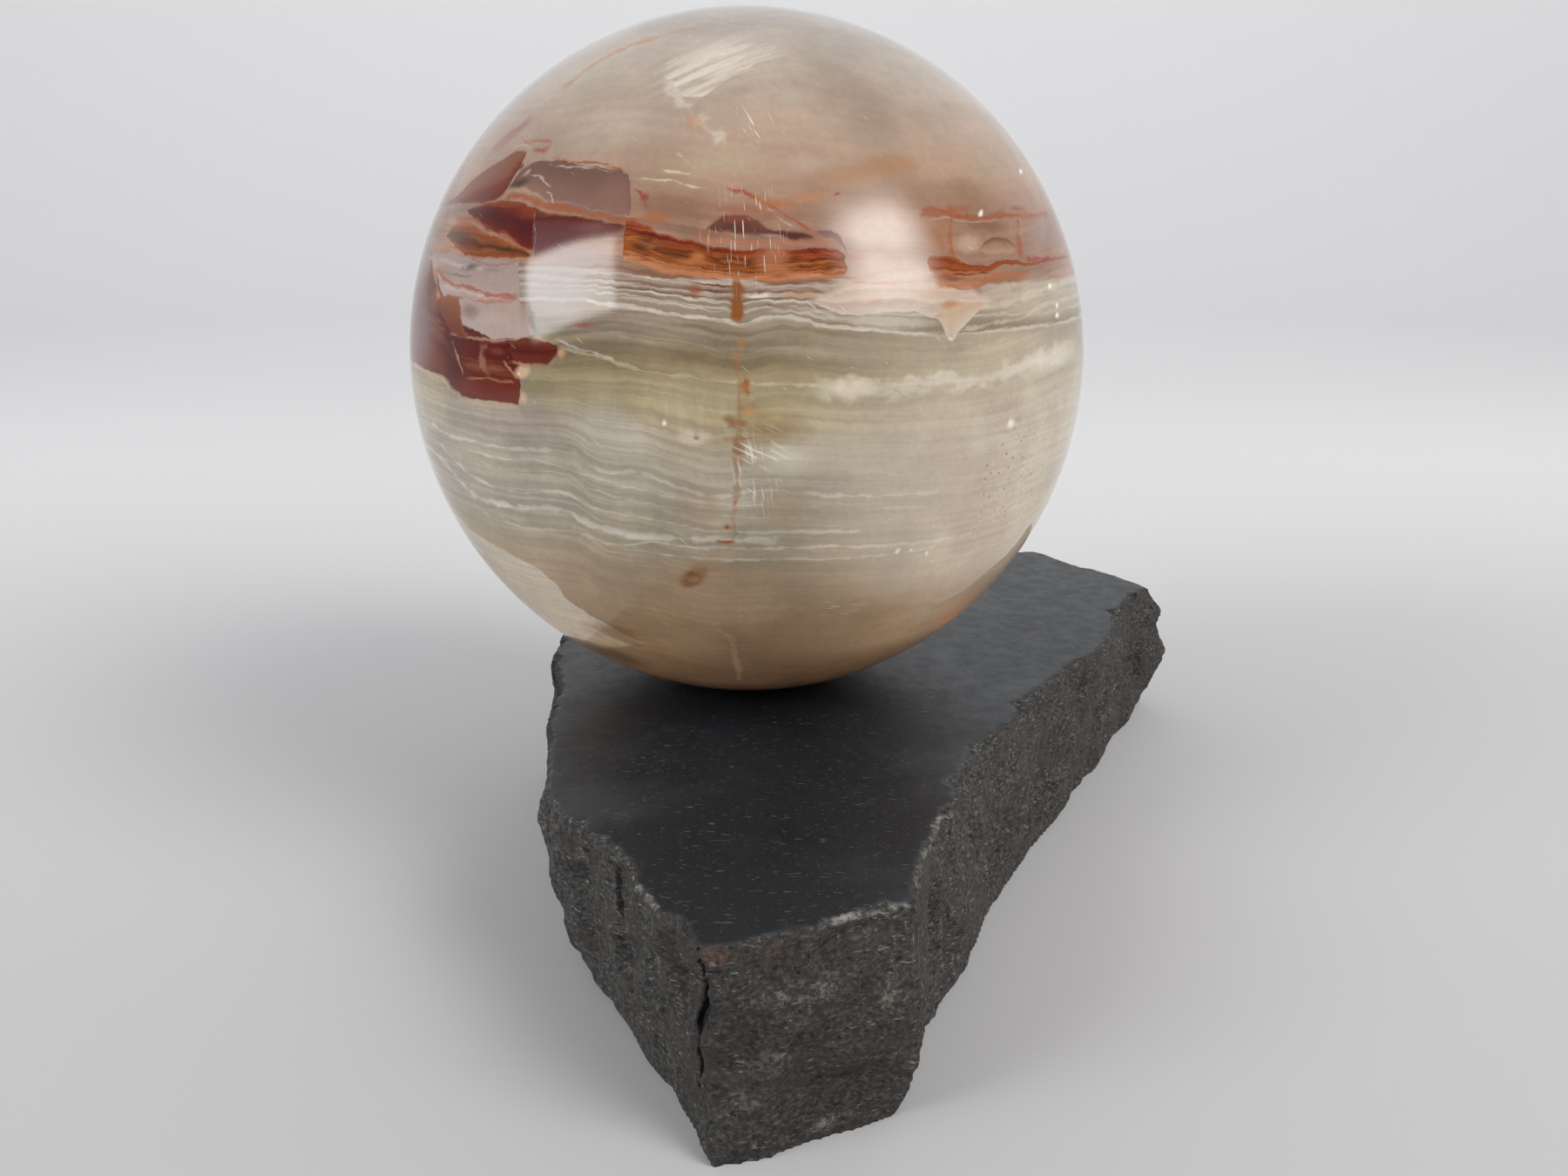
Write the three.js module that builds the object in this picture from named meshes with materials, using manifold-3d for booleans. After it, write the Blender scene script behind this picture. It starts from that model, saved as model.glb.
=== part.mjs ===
import * as THREE from 'three';
import { mergeVertices } from 'three/addons/utils/BufferGeometryUtils.js';
import Module from 'manifold-3d';

// A polished onyx ball resting in a shallow ground seat on a broken slab of dark stone.
// Millimetres, +Z up. The pieces are drawn with the floor point below the ball's centre at zero,
// and the whole is moved at the end so that the middle of its underside is the origin.

// The ball.
const BALL_RADIUS = 50;
const BALL_SPLITS = 12; // cuts along each edge of the icosahedron it starts from

// The slab: a honed top, a sawn underside, and split faces all round.
const SLAB_THICKNESS = 26.65;
const COLUMN_WIDTH = 2.5; // along the outline
const ROW_HEIGHTS = [0, 1.8, 4.4, 7.2, 10, 12.9, 15.8, 18.7, 21.6, 24.6, SLAB_THICKNESS];

// The seat ground into the honed top, which keeps the ball from rolling.
const SEAT_RADIUS = 11; // of its rim, in the plane of the top
const SEAT_GAP = 0.3;

// Relief of the split faces: height out of the face, and width from one rise to the next.
const LUMPS = { height: 1.2, width: 12 };
const RIDGES = { height: 1.1, width: 6 };
const EDGE_RELIEF = 0.3; // share of the relief left at the top and bottom edges

// The outline, counter-clockwise seen from above and starting at the near corner: x and y on the
// honed top, x and y on the underside, and how far the split face swells out between the two.
const SLAB_CORNERS = [
  // near end
  [-3.0, -81.6, -2.4, -82.3, 0.0], [1.8, -80.2, 3.6, -81.3, 0.2], [8.1, -78.3, 8.6, -79.0, 0.5],
  [14.5, -75.5, 13.6, -77.0, 0.4], [20.0, -73.5, 17.6, -74.4, 1.6],
  // right side, hollow in the middle
  [20.8, -66.5, 20.6, -67.0, 0.9], [22.2, -60.7, 22.9, -61.2, 0.6], [24.8, -54.9, 25.5, -55.0, 0.6],
  [27.7, -48.5, 28.9, -48.4, 0.5], [30.3, -39.0, 33.4, -37.5, 0.4], [32.6, -31.3, 36.0, -31.0, 0.2],
  [38.6, -23.9, 40.5, -23.6, 0.0], [44.2, -13.0, 45.5, -13.4, 0.3], [51.5, -2.7, 51.8, -3.0, 0.5],
  [57.9, 5.1, 56.0, 5.6, 0.6], [62.7, 14.5, 61.6, 14.4, 0.6], [66.7, 25.3, 67.4, 26.4, 0.6],
  [73.0, 38.4, 76.0, 41.0, 1.0],
  // far right corner, which swells out below its edge
  [77.9, 43.0, 80.4, 48.8, 3.6], [73.4, 52.3, 75.8, 56.0, 1.4], [66.7, 60.8, 68.4, 63.8, 0.6],
  [62.2, 69.2, 63.4, 71.2, 0.5], [59.2, 71.4, 59.5, 74.0, 0.6],
  // far side, behind the ball
  [50.5, 73.0, 51.0, 75.4, 0.4], [41.0, 68.5, 41.6, 71.2, 0.5], [30.2, 66.0, 29.4, 68.0, 0.6],
  [21.0, 59.0, 20.2, 61.5, 0.2], [9.5, 54.4, 10.0, 57.0, 0.6], [-1.5, 48.5, -2.0, 51.0, 0.3],
  [-12.0, 45.5, -11.4, 47.5, 0.8], [-21.5, 37.0, -20.2, 39.6, 0.2], [-30.4, 28.6, -28.6, 31.0, 0.5],
  // left side, undercut
  [-34.0, 20.0, -31.4, 20.6, 0.3], [-34.2, 14.1, -31.2, 13.0, 0.0], [-34.0, 3.8, -30.6, 3.4, 0.0],
  [-31.5, -8.9, -28.6, -8.6, 0.0], [-29.1, -26.5, -25.9, -25.8, 0.0], [-26.3, -39.0, -24.1, -36.8, 0.0],
  [-25.7, -45.8, -22.9, -42.6, 0.3], [-21.9, -53.0, -19.2, -50.0, 0.2], [-16.3, -60.7, -14.4, -57.6, 0.4],
  // left side of the near end, where the top edge is scalloped
  [-13.5, -63.9, -12.2, -62.0, -0.3], [-11.6, -69.0, -10.2, -66.5, 0.4], [-9.3, -72.9, -7.6, -70.6, 0.2],
  [-8.3, -75.2, -6.3, -73.6, 0.4], [-6.2, -76.5, -5.2, -76.0, 0.2], [-3.9, -80.4, -3.7, -79.8, 0.0],
];

// The open crack down the near corner: x, z and half width along it, and how deep it goes.
const CRACK_LINE = [
  [-4.1, 22.8, 0.1], [-3.7, 19.3, 0.45], [-4.5, 16.7, 0.5], [-5.0, 15.0, 0.55], [-4.7, 12.8, 0.35],
  [-4.7, 5.0, 0.1],
];
const CRACK_FRONT = -85;
const CRACK_DEPTH = 6.2;
const CRACK_TURN = THREE.MathUtils.degToRad(-12); // how far it leans into the slab

const ballHeight = SLAB_THICKNESS + Math.sqrt((BALL_RADIUS + SEAT_GAP) ** 2 - SEAT_RADIUS ** 2);

const { Manifold, Mesh } = await loadSolids();

async function loadSolids() {
  const library = await Module();
  library.setup();
  return library;
}

// A value between -1 and 1 that belongs to one corner of an endless grid of cubes.
function cornerValue(x, y, z) {
  const wave = Math.sin(x * 127.1 + y * 311.7 + z * 74.7) * 43758.5453;
  return 2 * (wave - Math.floor(wave)) - 1;
}

// Smooth noise between -1 and 1: the values at the corners of the cube around the point, blended.
function smoothNoise(point, width) {
  const place = point.clone().divideScalar(width);
  const cell = place.clone().floor();
  const part = place.clone().sub(cell);
  const ease = ['x', 'y', 'z'].map((axis) => part[axis] ** 2 * (3 - 2 * part[axis]));
  let sum = 0;
  for (const i of [0, 1]) {
    for (const j of [0, 1]) {
      for (const k of [0, 1]) {
        const share = [i, j, k].reduce((all, end, n) => all * (end ? ease[n] : 1 - ease[n]), 1);
        sum += share * cornerValue(cell.x + i, cell.y + j, cell.z + k);
      }
    }
  }
  return sum;
}

// Places along the outline about one column apart. Each corner of the outline is one of them.
function slabColumns() {
  const columns = [];
  SLAB_CORNERS.forEach((corner, n) => {
    const next = SLAB_CORNERS[(n + 1) % SLAB_CORNERS.length];
    const length = Math.hypot(next[0] - corner[0], next[1] - corner[1]);
    const count = Math.max(1, Math.round(length / COLUMN_WIDTH));
    for (let step = 0; step < count; step++) {
      const [topX, topY, footX, footY, swell] = corner.map((value, i) =>
        THREE.MathUtils.lerp(value, next[i], step / count));
      columns.push({ top: new THREE.Vector2(topX, topY), foot: new THREE.Vector2(footX, footY), swell });
    }
  });
  return columns;
}

// The direction out of the slab at a column, level with the floor.
function outward(columns, n) {
  const before = columns.at(n - 1).top;
  const after = columns[(n + 1) % columns.length].top;
  return new THREE.Vector2(after.y - before.y, before.x - after.x).normalize();
}

// One point of the split face, given its column and its height above the floor.
function facePoint(columns, n, height) {
  const { top, foot, swell } = columns[n];
  const share = height / SLAB_THICKNESS;
  const middle = 4 * share * (1 - share);
  const flat = foot.clone().lerp(top, share);
  const point = new THREE.Vector3(flat.x, flat.y, height);
  const ridge = 1 - 3 * Math.abs(smoothNoise(point, RIDGES.width));
  const relief = LUMPS.height * smoothNoise(point, LUMPS.width) + RIDGES.height * ridge;
  const strength = THREE.MathUtils.lerp(EDGE_RELIEF, 1, Math.sqrt(middle));
  const push = outward(columns, n).multiplyScalar(swell * middle + relief * strength);
  return point.add(new THREE.Vector3(push.x, push.y, 0));
}

// Rows of points joined by two triangles to each facet, closed by a flat top and a flat underside.
function slabGeometry() {
  const columns = slabColumns();
  const width = columns.length;
  const points = ROW_HEIGHTS.flatMap((height) => columns.map((column, n) => facePoint(columns, n, height)));
  const triangles = [];
  for (let row = 0; row + 1 < ROW_HEIGHTS.length; row++) {
    for (let n = 0; n < width; n++) {
      const low = row * width + n;
      const lowNext = row * width + (n + 1) % width;
      triangles.push(low, lowNext, lowNext + width, low, lowNext + width, low + width);
    }
  }
  const topStart = (ROW_HEIGHTS.length - 1) * width;
  for (const [a, b, c] of flatFace(points.slice(topStart))) {
    triangles.push(topStart + a, topStart + b, topStart + c);
  }
  for (const [a, b, c] of flatFace(points.slice(0, width))) triangles.push(a, c, b);
  return toGeometry(points.flatMap((point) => point.toArray()), triangles);
}

function flatFace(ring) {
  return THREE.ShapeUtils.triangulateShape(ring.map((point) => new THREE.Vector2(point.x, point.y)), []);
}

function toGeometry(coordinates, triangles) {
  const geometry = new THREE.BufferGeometry();
  geometry.setAttribute('position', new THREE.BufferAttribute(new Float32Array(coordinates), 3));
  geometry.setIndex(new THREE.BufferAttribute(new Uint32Array(triangles), 1));
  return geometry;
}

function toSolid(geometry) {
  const bare = geometry.clone();
  bare.deleteAttribute('normal');
  bare.deleteAttribute('uv');
  const merged = mergeVertices(bare, 1e-3);
  const vertProperties = Float32Array.from(merged.attributes.position.array);
  const triVerts = Uint32Array.from(merged.index.array);
  return new Manifold(new Mesh({ numProp: 3, vertProperties, triVerts }));
}

function fromSolid(solid) {
  const mesh = solid.getMesh();
  const geometry = toGeometry(mesh.vertProperties, mesh.triVerts);
  geometry.computeVertexNormals();
  return geometry;
}

function ballGeometry(radius) {
  return new THREE.IcosahedronGeometry(radius, BALL_SPLITS);
}

// A thin zigzag blade, standing on its long edge and running into the slab from the front.
function crackGeometry() {
  const left = CRACK_LINE.map(([x, z, half]) => new THREE.Vector2(x - half, z));
  const right = CRACK_LINE.map(([x, z, half]) => new THREE.Vector2(x + half, z));
  const outline = new THREE.Shape([...left, ...right.reverse()]);
  const blade = new THREE.ExtrudeGeometry(outline, { depth: CRACK_DEPTH, bevelEnabled: false });
  blade.rotateX(Math.PI / 2); // the outline's second axis turns upright, and its depth towards the front
  blade.translate(-CRACK_LINE[0][0], CRACK_DEPTH, 0);
  blade.rotateZ(CRACK_TURN);
  blade.translate(CRACK_LINE[0][0], CRACK_FRONT, 0);
  return blade;
}

function onyxBall() {
  const polished = new THREE.MeshStandardMaterial({ color: 0xb9b3a0, roughness: 0.12, metalness: 0 });
  const bare = ballGeometry(BALL_RADIUS);
  bare.deleteAttribute('normal');
  bare.deleteAttribute('uv');
  const geometry = mergeVertices(bare, 1e-3);
  geometry.computeVertexNormals();
  const ball = new THREE.Mesh(geometry, polished);
  ball.name = 'onyx_ball';
  ball.position.z = ballHeight;
  return ball;
}

function stoneSlab() {
  const dark = new THREE.MeshStandardMaterial({ color: 0x3b3937, roughness: 0.7, metalness: 0 });
  const seat = ballGeometry(BALL_RADIUS + SEAT_GAP).translate(0, 0, ballHeight);
  const solid = toSolid(slabGeometry()).subtract(toSolid(seat)).subtract(toSolid(crackGeometry()));
  const slab = new THREE.Mesh(fromSolid(solid), dark);
  slab.name = 'stone_slab';
  return slab;
}

// The finished object, moved so that the middle of its underside is the origin.
function onyxBallOnSlab() {
  const pieces = new THREE.Group();
  pieces.add(onyxBall(), stoneSlab());
  const box = new THREE.Box3().setFromObject(pieces, true);
  const middle = box.getCenter(new THREE.Vector3());
  pieces.position.set(-middle.x, -middle.y, -box.min.z);
  const whole = new THREE.Group();
  whole.add(pieces);
  return whole;
}

export default onyxBallOnSlab();
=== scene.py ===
"""A polished ball of banded onyx on a broken slab of dark stone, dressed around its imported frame."""

import math
import random

import bmesh
import bpy
from mathutils import Euler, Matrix, Quaternion, Vector, kdtree, noise


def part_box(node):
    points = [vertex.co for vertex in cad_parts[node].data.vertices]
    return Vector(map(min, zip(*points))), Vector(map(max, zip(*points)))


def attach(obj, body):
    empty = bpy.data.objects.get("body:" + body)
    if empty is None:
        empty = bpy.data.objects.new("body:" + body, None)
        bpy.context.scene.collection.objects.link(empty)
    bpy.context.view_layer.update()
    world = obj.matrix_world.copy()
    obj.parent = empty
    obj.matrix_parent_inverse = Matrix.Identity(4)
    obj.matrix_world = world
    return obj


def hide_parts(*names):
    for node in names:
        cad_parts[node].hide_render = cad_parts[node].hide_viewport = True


bl_info = {
    "name": "Onyx ball on a stone slab",
    "version": (1, 0, 0),
    "blender": (4, 5, 0),
    "location": "View3D > Sidebar > Onyx ball",
    "description": "Models and finishes a banded onyx ball on a broken slab of dark stone",
    "category": "Add Mesh",
}

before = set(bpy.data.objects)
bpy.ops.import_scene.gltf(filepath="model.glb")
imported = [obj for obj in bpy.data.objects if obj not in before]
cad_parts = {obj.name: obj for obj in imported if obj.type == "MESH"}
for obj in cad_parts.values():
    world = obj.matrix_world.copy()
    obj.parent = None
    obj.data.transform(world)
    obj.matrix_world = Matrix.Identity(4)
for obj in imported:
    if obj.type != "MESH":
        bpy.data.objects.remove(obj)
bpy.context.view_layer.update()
BALL_LOW, BALL_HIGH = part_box("onyx_ball")
SLAB_LOW, SLAB_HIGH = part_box("stone_slab")
BALL_CENTRE = (BALL_LOW + BALL_HIGH) / 2
BALL_RADIUS = (BALL_HIGH.z - BALL_LOW.z) / 2
MM = 0.001


# Colours. A tone is what the stone shows in the studio, from 0 to 255 in red, green and blue.

POLISH_VEIL = 0.016  # light that the polish adds to every tone
FOOT_VEIL = 0.004  # the same where the ball mirrors the dark slab
STUDIO_GAIN = 0.895  # how much of a colour comes back from a face turned to the camera
SLAB_VEIL, SLAB_GAIN = 0.004, 0.9  # the same two for the dark stone


def linear(value):
    """The share of light behind a display value from 0 to 255."""
    share = value / 255
    return share / 12.92 if share <= 0.04045 else ((share + 0.055) / 1.055) ** 2.4


def tone(red, green, blue, veil=POLISH_VEIL, gain=STUDIO_GAIN):
    """The stone's own colour for a tone seen in the studio."""
    return tuple(max(0.003, (linear(value) - veil) / gain) for value in (red, green, blue)) + (1.0,)


CREAM = tone(222, 212, 198)
MILK = tone(204, 198, 188)
TAN = tone(172, 133, 104)
RED_LINE = tone(150, 62, 42)
RED_BROWN = tone(104, 48, 36)
GREY_BROWN = tone(124, 96, 88)


# Node trees.


class Nodes:
    """Adds shader nodes to one tree in the order they are needed, and links them as it goes."""

    def __init__(self, tree):
        self.tree = tree

    def add(self, kind, inputs=None, **settings):
        node = self.tree.nodes.new("ShaderNode" + kind)
        for name, value in settings.items():
            setattr(node, name, value)
        for key, value in (inputs or {}).items():
            if isinstance(value, bpy.types.NodeSocket):
                self.tree.links.new(value, node.inputs[key])
            else:
                node.inputs[key].default_value = value
        return node

    def calc(self, operation, *values):
        return self.add("Math", dict(enumerate(values)), operation=operation).outputs[0]

    def vector(self, operation, *values):
        node = self.add("VectorMath", dict(enumerate(values)), operation=operation)
        return node.outputs["Value" if operation in ("DOT_PRODUCT", "LENGTH") else "Vector"]

    def step(self, value, start, end, low=0.0, high=1.0):
        """Goes smoothly from low to high as value goes from start to end."""
        inputs = {"Value": value, "From Min": start, "From Max": end, "To Min": low, "To Max": high}
        return self.add("MapRange", inputs, interpolation_type="SMOOTHSTEP", clamp=False).outputs[0]

    def noise(self, place, scale, detail=2.0, roughness=0.5, distortion=0.0):
        inputs = {
            "Vector": place, "Scale": scale, "Detail": detail, "Roughness": roughness,
            "Distortion": distortion,
        }
        return self.add("TexNoise", inputs).outputs["Fac"]

    def stretch(self, place, scale, turn=0.0):
        """The place with its axes scaled, after a turn in degrees about the second axis."""
        if turn:
            turned = {"Vector": place, "Rotation": (0.0, math.radians(turn), 0.0)}
            place = self.add("Mapping", turned).outputs[0]
        return self.add("Mapping", {"Vector": place, "Scale": scale}).outputs[0]

    def course(self, along, points, handle="AUTO_CLAMPED"):
        """A height that follows a course of points, and stays level past its ends."""
        level = 0.03 * (points[-1][0] - points[0][0])
        before, after = (points[0][0] - level, points[0][1]), (points[-1][0] + level, points[-1][1])
        points = [before, *points, after]
        node = self.add("FloatCurve", {"Value": along})
        mapping = node.mapping
        mapping.use_clip = False
        mapping.extend = "HORIZONTAL"
        curve = mapping.curves[0]
        for spare in curve.points[1:-1]:
            curve.points.remove(spare)
        curve.points[0].location = points[0]
        curve.points[-1].location = points[-1]
        for point in points[1:-1]:
            curve.points.new(*point)
        for point in curve.points:
            point.handle_type = handle
        mapping.update()
        return node.outputs[0]

    def ramp(self, value, stops, ease="EASE"):
        node = self.add("ValToRGB", {"Fac": value})
        ramp = node.color_ramp
        ramp.interpolation = ease
        for place, colour in stops[1:-1]:
            ramp.elements.new(place).color = colour
        ramp.elements[0].position, ramp.elements[0].color = stops[0]
        ramp.elements[-1].position, ramp.elements[-1].color = stops[-1]
        return node.outputs[0]

    def mix(self, share, under, over, blend="MIX"):
        node = self.add("Mix", {0: share, 6: under, 7: over}, data_type="RGBA", blend_type=blend)
        return node.outputs[2]

    def group(self, tree, inputs):
        return self.add("Group", inputs, node_tree=tree).outputs

    def grey(self, value):
        return self.add("CombineColor", {0: value, 1: value, 2: value}).outputs[0]

    def parts(self, place):
        return self.add("SeparateXYZ", {0: place}).outputs

    def attribute(self, name):
        return self.add("Attribute", attribute_name=name, attribute_type="GEOMETRY").outputs["Fac"]

    def surface(self, inputs, **settings):
        """Ends a material in one shader."""
        shader = self.add("BsdfPrincipled", inputs, **settings)
        self.add("OutputMaterial", {"Surface": shader.outputs[0]})


def new_material(name):
    """A material whose node tree is empty."""
    material = bpy.data.materials.new(name)
    material.use_nodes = True
    material.node_tree.nodes.clear()
    return material


def start_group(name, inputs, outputs):
    """An empty node group with its sockets, and its own Nodes, inputs and output node."""
    tree = bpy.data.node_groups.new(name, "ShaderNodeTree")
    for socket, kind, value in inputs:
        made = tree.interface.new_socket(socket, in_out="INPUT", socket_type="NodeSocket" + kind)
        made.default_value = value
    for socket, kind in outputs:
        tree.interface.new_socket(socket, in_out="OUTPUT", socket_type="NodeSocket" + kind)
    start = tree.nodes.new("NodeGroupInput")
    return tree, Nodes(tree), start.outputs, tree.nodes.new("NodeGroupOutput")


def seam_group():
    """A line that keeps to a course: full inside its half width, and gone one softness further.

    It runs Reach to either side of Middle, and fades in and out from there to Full."""
    inputs = [
        ("Height", "Float", 0.0), ("Along", "Float", 0.0), ("Course", "Float", 0.0),
        ("Middle", "Float", 0.0), ("Reach", "Float", 1.0), ("Full", "Float", 0.9), ("Width", "Float", 0.01),
        ("Softness", "Float", 0.01), ("Rag", "Float", 0.5), ("Strength", "Float", 1.0),
    ]
    tree, nodes, given, end = start_group("Seam", inputs, [("Mask", "Float")])
    away = nodes.calc("ABSOLUTE", nodes.calc("SUBTRACT", given["Height"], given["Course"]))
    thinner = nodes.step(given["Rag"], 0.62, 0.38)
    away = nodes.calc("MULTIPLY_ADD", nodes.calc("MULTIPLY", thinner, given["Softness"]), 0.8, away)
    outer = nodes.calc("ADD", given["Width"], given["Softness"])
    mask = nodes.step(away, outer, given["Width"])
    from_middle = nodes.calc("ABSOLUTE", nodes.calc("SUBTRACT", given["Along"], given["Middle"]))
    ends = nodes.step(from_middle, given["Reach"], given["Full"], 0.0, given["Strength"])
    tree.links.new(nodes.calc("MULTIPLY", mask, ends), end.inputs["Mask"])
    return tree


def bed_group():
    """A bed between two courses, and how far up inside it a point lies, from 0 to 1."""
    inputs = [
        ("Height", "Float", 0.0), ("Top", "Float", 1.0), ("Bottom", "Float", 0.0),
        ("Top Softness", "Float", 0.01), ("Bottom Softness", "Float", 0.01), ("Strength", "Float", 1.0),
    ]
    tree, nodes, given, end = start_group("Bed", inputs, [("Mask", "Float"), ("Share", "Float")])
    over_bottom = nodes.calc("SUBTRACT", given["Height"], given["Bottom"])
    under_top = nodes.calc("SUBTRACT", given["Top"], given["Height"])
    low = nodes.step(over_bottom, 0.0, given["Bottom Softness"])
    high = nodes.step(under_top, 0.0, given["Top Softness"])
    thick = nodes.calc("SUBTRACT", given["Top"], given["Bottom"])
    there = nodes.step(thick, 0.002, 0.006)
    mask = nodes.calc("MULTIPLY", nodes.calc("MULTIPLY", low, high), given["Strength"])
    tree.links.new(nodes.calc("MULTIPLY", mask, there), end.inputs["Mask"])
    share = nodes.calc("DIVIDE", over_bottom, nodes.calc("MAXIMUM", thick, 0.001))
    tree.links.new(share, end.inputs["Share"])
    return tree


def spot_group():
    """A level oval with a frayed edge: full up to Core of the way out, and gone at its rim.

    Scale is one over its reach each way, and Shift brings its centre to the origin."""
    inputs = [
        ("Place", "Vector", (0, 0, 0)), ("Scale", "Vector", (1, 1, 1)), ("Shift", "Vector", (0, 0, 0)),
        ("Core", "Float", 0.2), ("Fray", "Float", 0.0), ("Fraying", "Float", 0.0),
        ("Strength", "Float", 1.0),
    ]
    tree, nodes, given, end = start_group("Spot", inputs, [("Mask", "Float")])
    away = nodes.vector("MULTIPLY_ADD", given["Place"], given["Scale"], given["Shift"])
    out = nodes.calc("MULTIPLY_ADD", given["Fray"], given["Fraying"], nodes.vector("LENGTH", away))
    tree.links.new(nodes.step(out, 1.0, given["Core"], 0.0, given["Strength"]), end.inputs["Mask"])
    return tree


def turned_spot_group():
    """A spot that is turned: Along and Across point along its axes, and are as long as one over its
    reach."""
    inputs = [
        ("Place", "Vector", (0, 0, 0)), ("Centre", "Vector", (0, 0, 0)), ("Along", "Vector", (1, 0, 0)),
        ("Across", "Vector", (0, 1, 0)), ("Core", "Float", 0.2), ("Fray", "Float", 0.0),
        ("Fraying", "Float", 0.0), ("Strength", "Float", 1.0),
    ]
    tree, nodes, given, end = start_group("Turned spot", inputs, [("Mask", "Float")])
    away = nodes.vector("SUBTRACT", given["Place"], given["Centre"])
    along = nodes.vector("DOT_PRODUCT", away, given["Along"])
    across = nodes.vector("DOT_PRODUCT", away, given["Across"])
    out = nodes.calc("MULTIPLY_ADD", across, across, nodes.calc("MULTIPLY", along, along))
    out = nodes.calc("MULTIPLY_ADD", given["Fray"], given["Fraying"], nodes.calc("SQRT", out))
    tree.links.new(nodes.step(out, 1.0, given["Core"], 0.0, given["Strength"]), end.inputs["Mask"])
    return tree


def scratch_group():
    """Short fine strokes along the first axis of the place it is given."""
    inputs = [
        ("Place", "Vector", (0, 0, 0)), ("Length", "Float", 0.1), ("Width", "Float", 0.01),
        ("Share", "Float", 0.3),
    ]
    tree, nodes, given, end = start_group("Scratches", inputs, [("Mask", "Float")])
    one = nodes.calc("DIVIDE", 1.0, given["Length"])
    across = nodes.calc("DIVIDE", 1.0, given["Width"])
    scale = nodes.add("CombineXYZ", {0: one, 1: one, 2: across}).outputs[0]
    strokes = nodes.noise(nodes.vector("MULTIPLY", given["Place"], scale), 1.0, 1.0, 0.5)
    start = nodes.calc("SUBTRACT", 0.78, nodes.calc("MULTIPLY", given["Share"], 0.3))
    mask = nodes.step(strokes, start, nodes.calc("ADD", start, 0.05))
    tree.links.new(mask, end.inputs["Mask"])
    return tree


# The onyx.


BACK_SHIFT = (0.5, -0.10)  # how far the beds are shifted right and up at the very back


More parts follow.
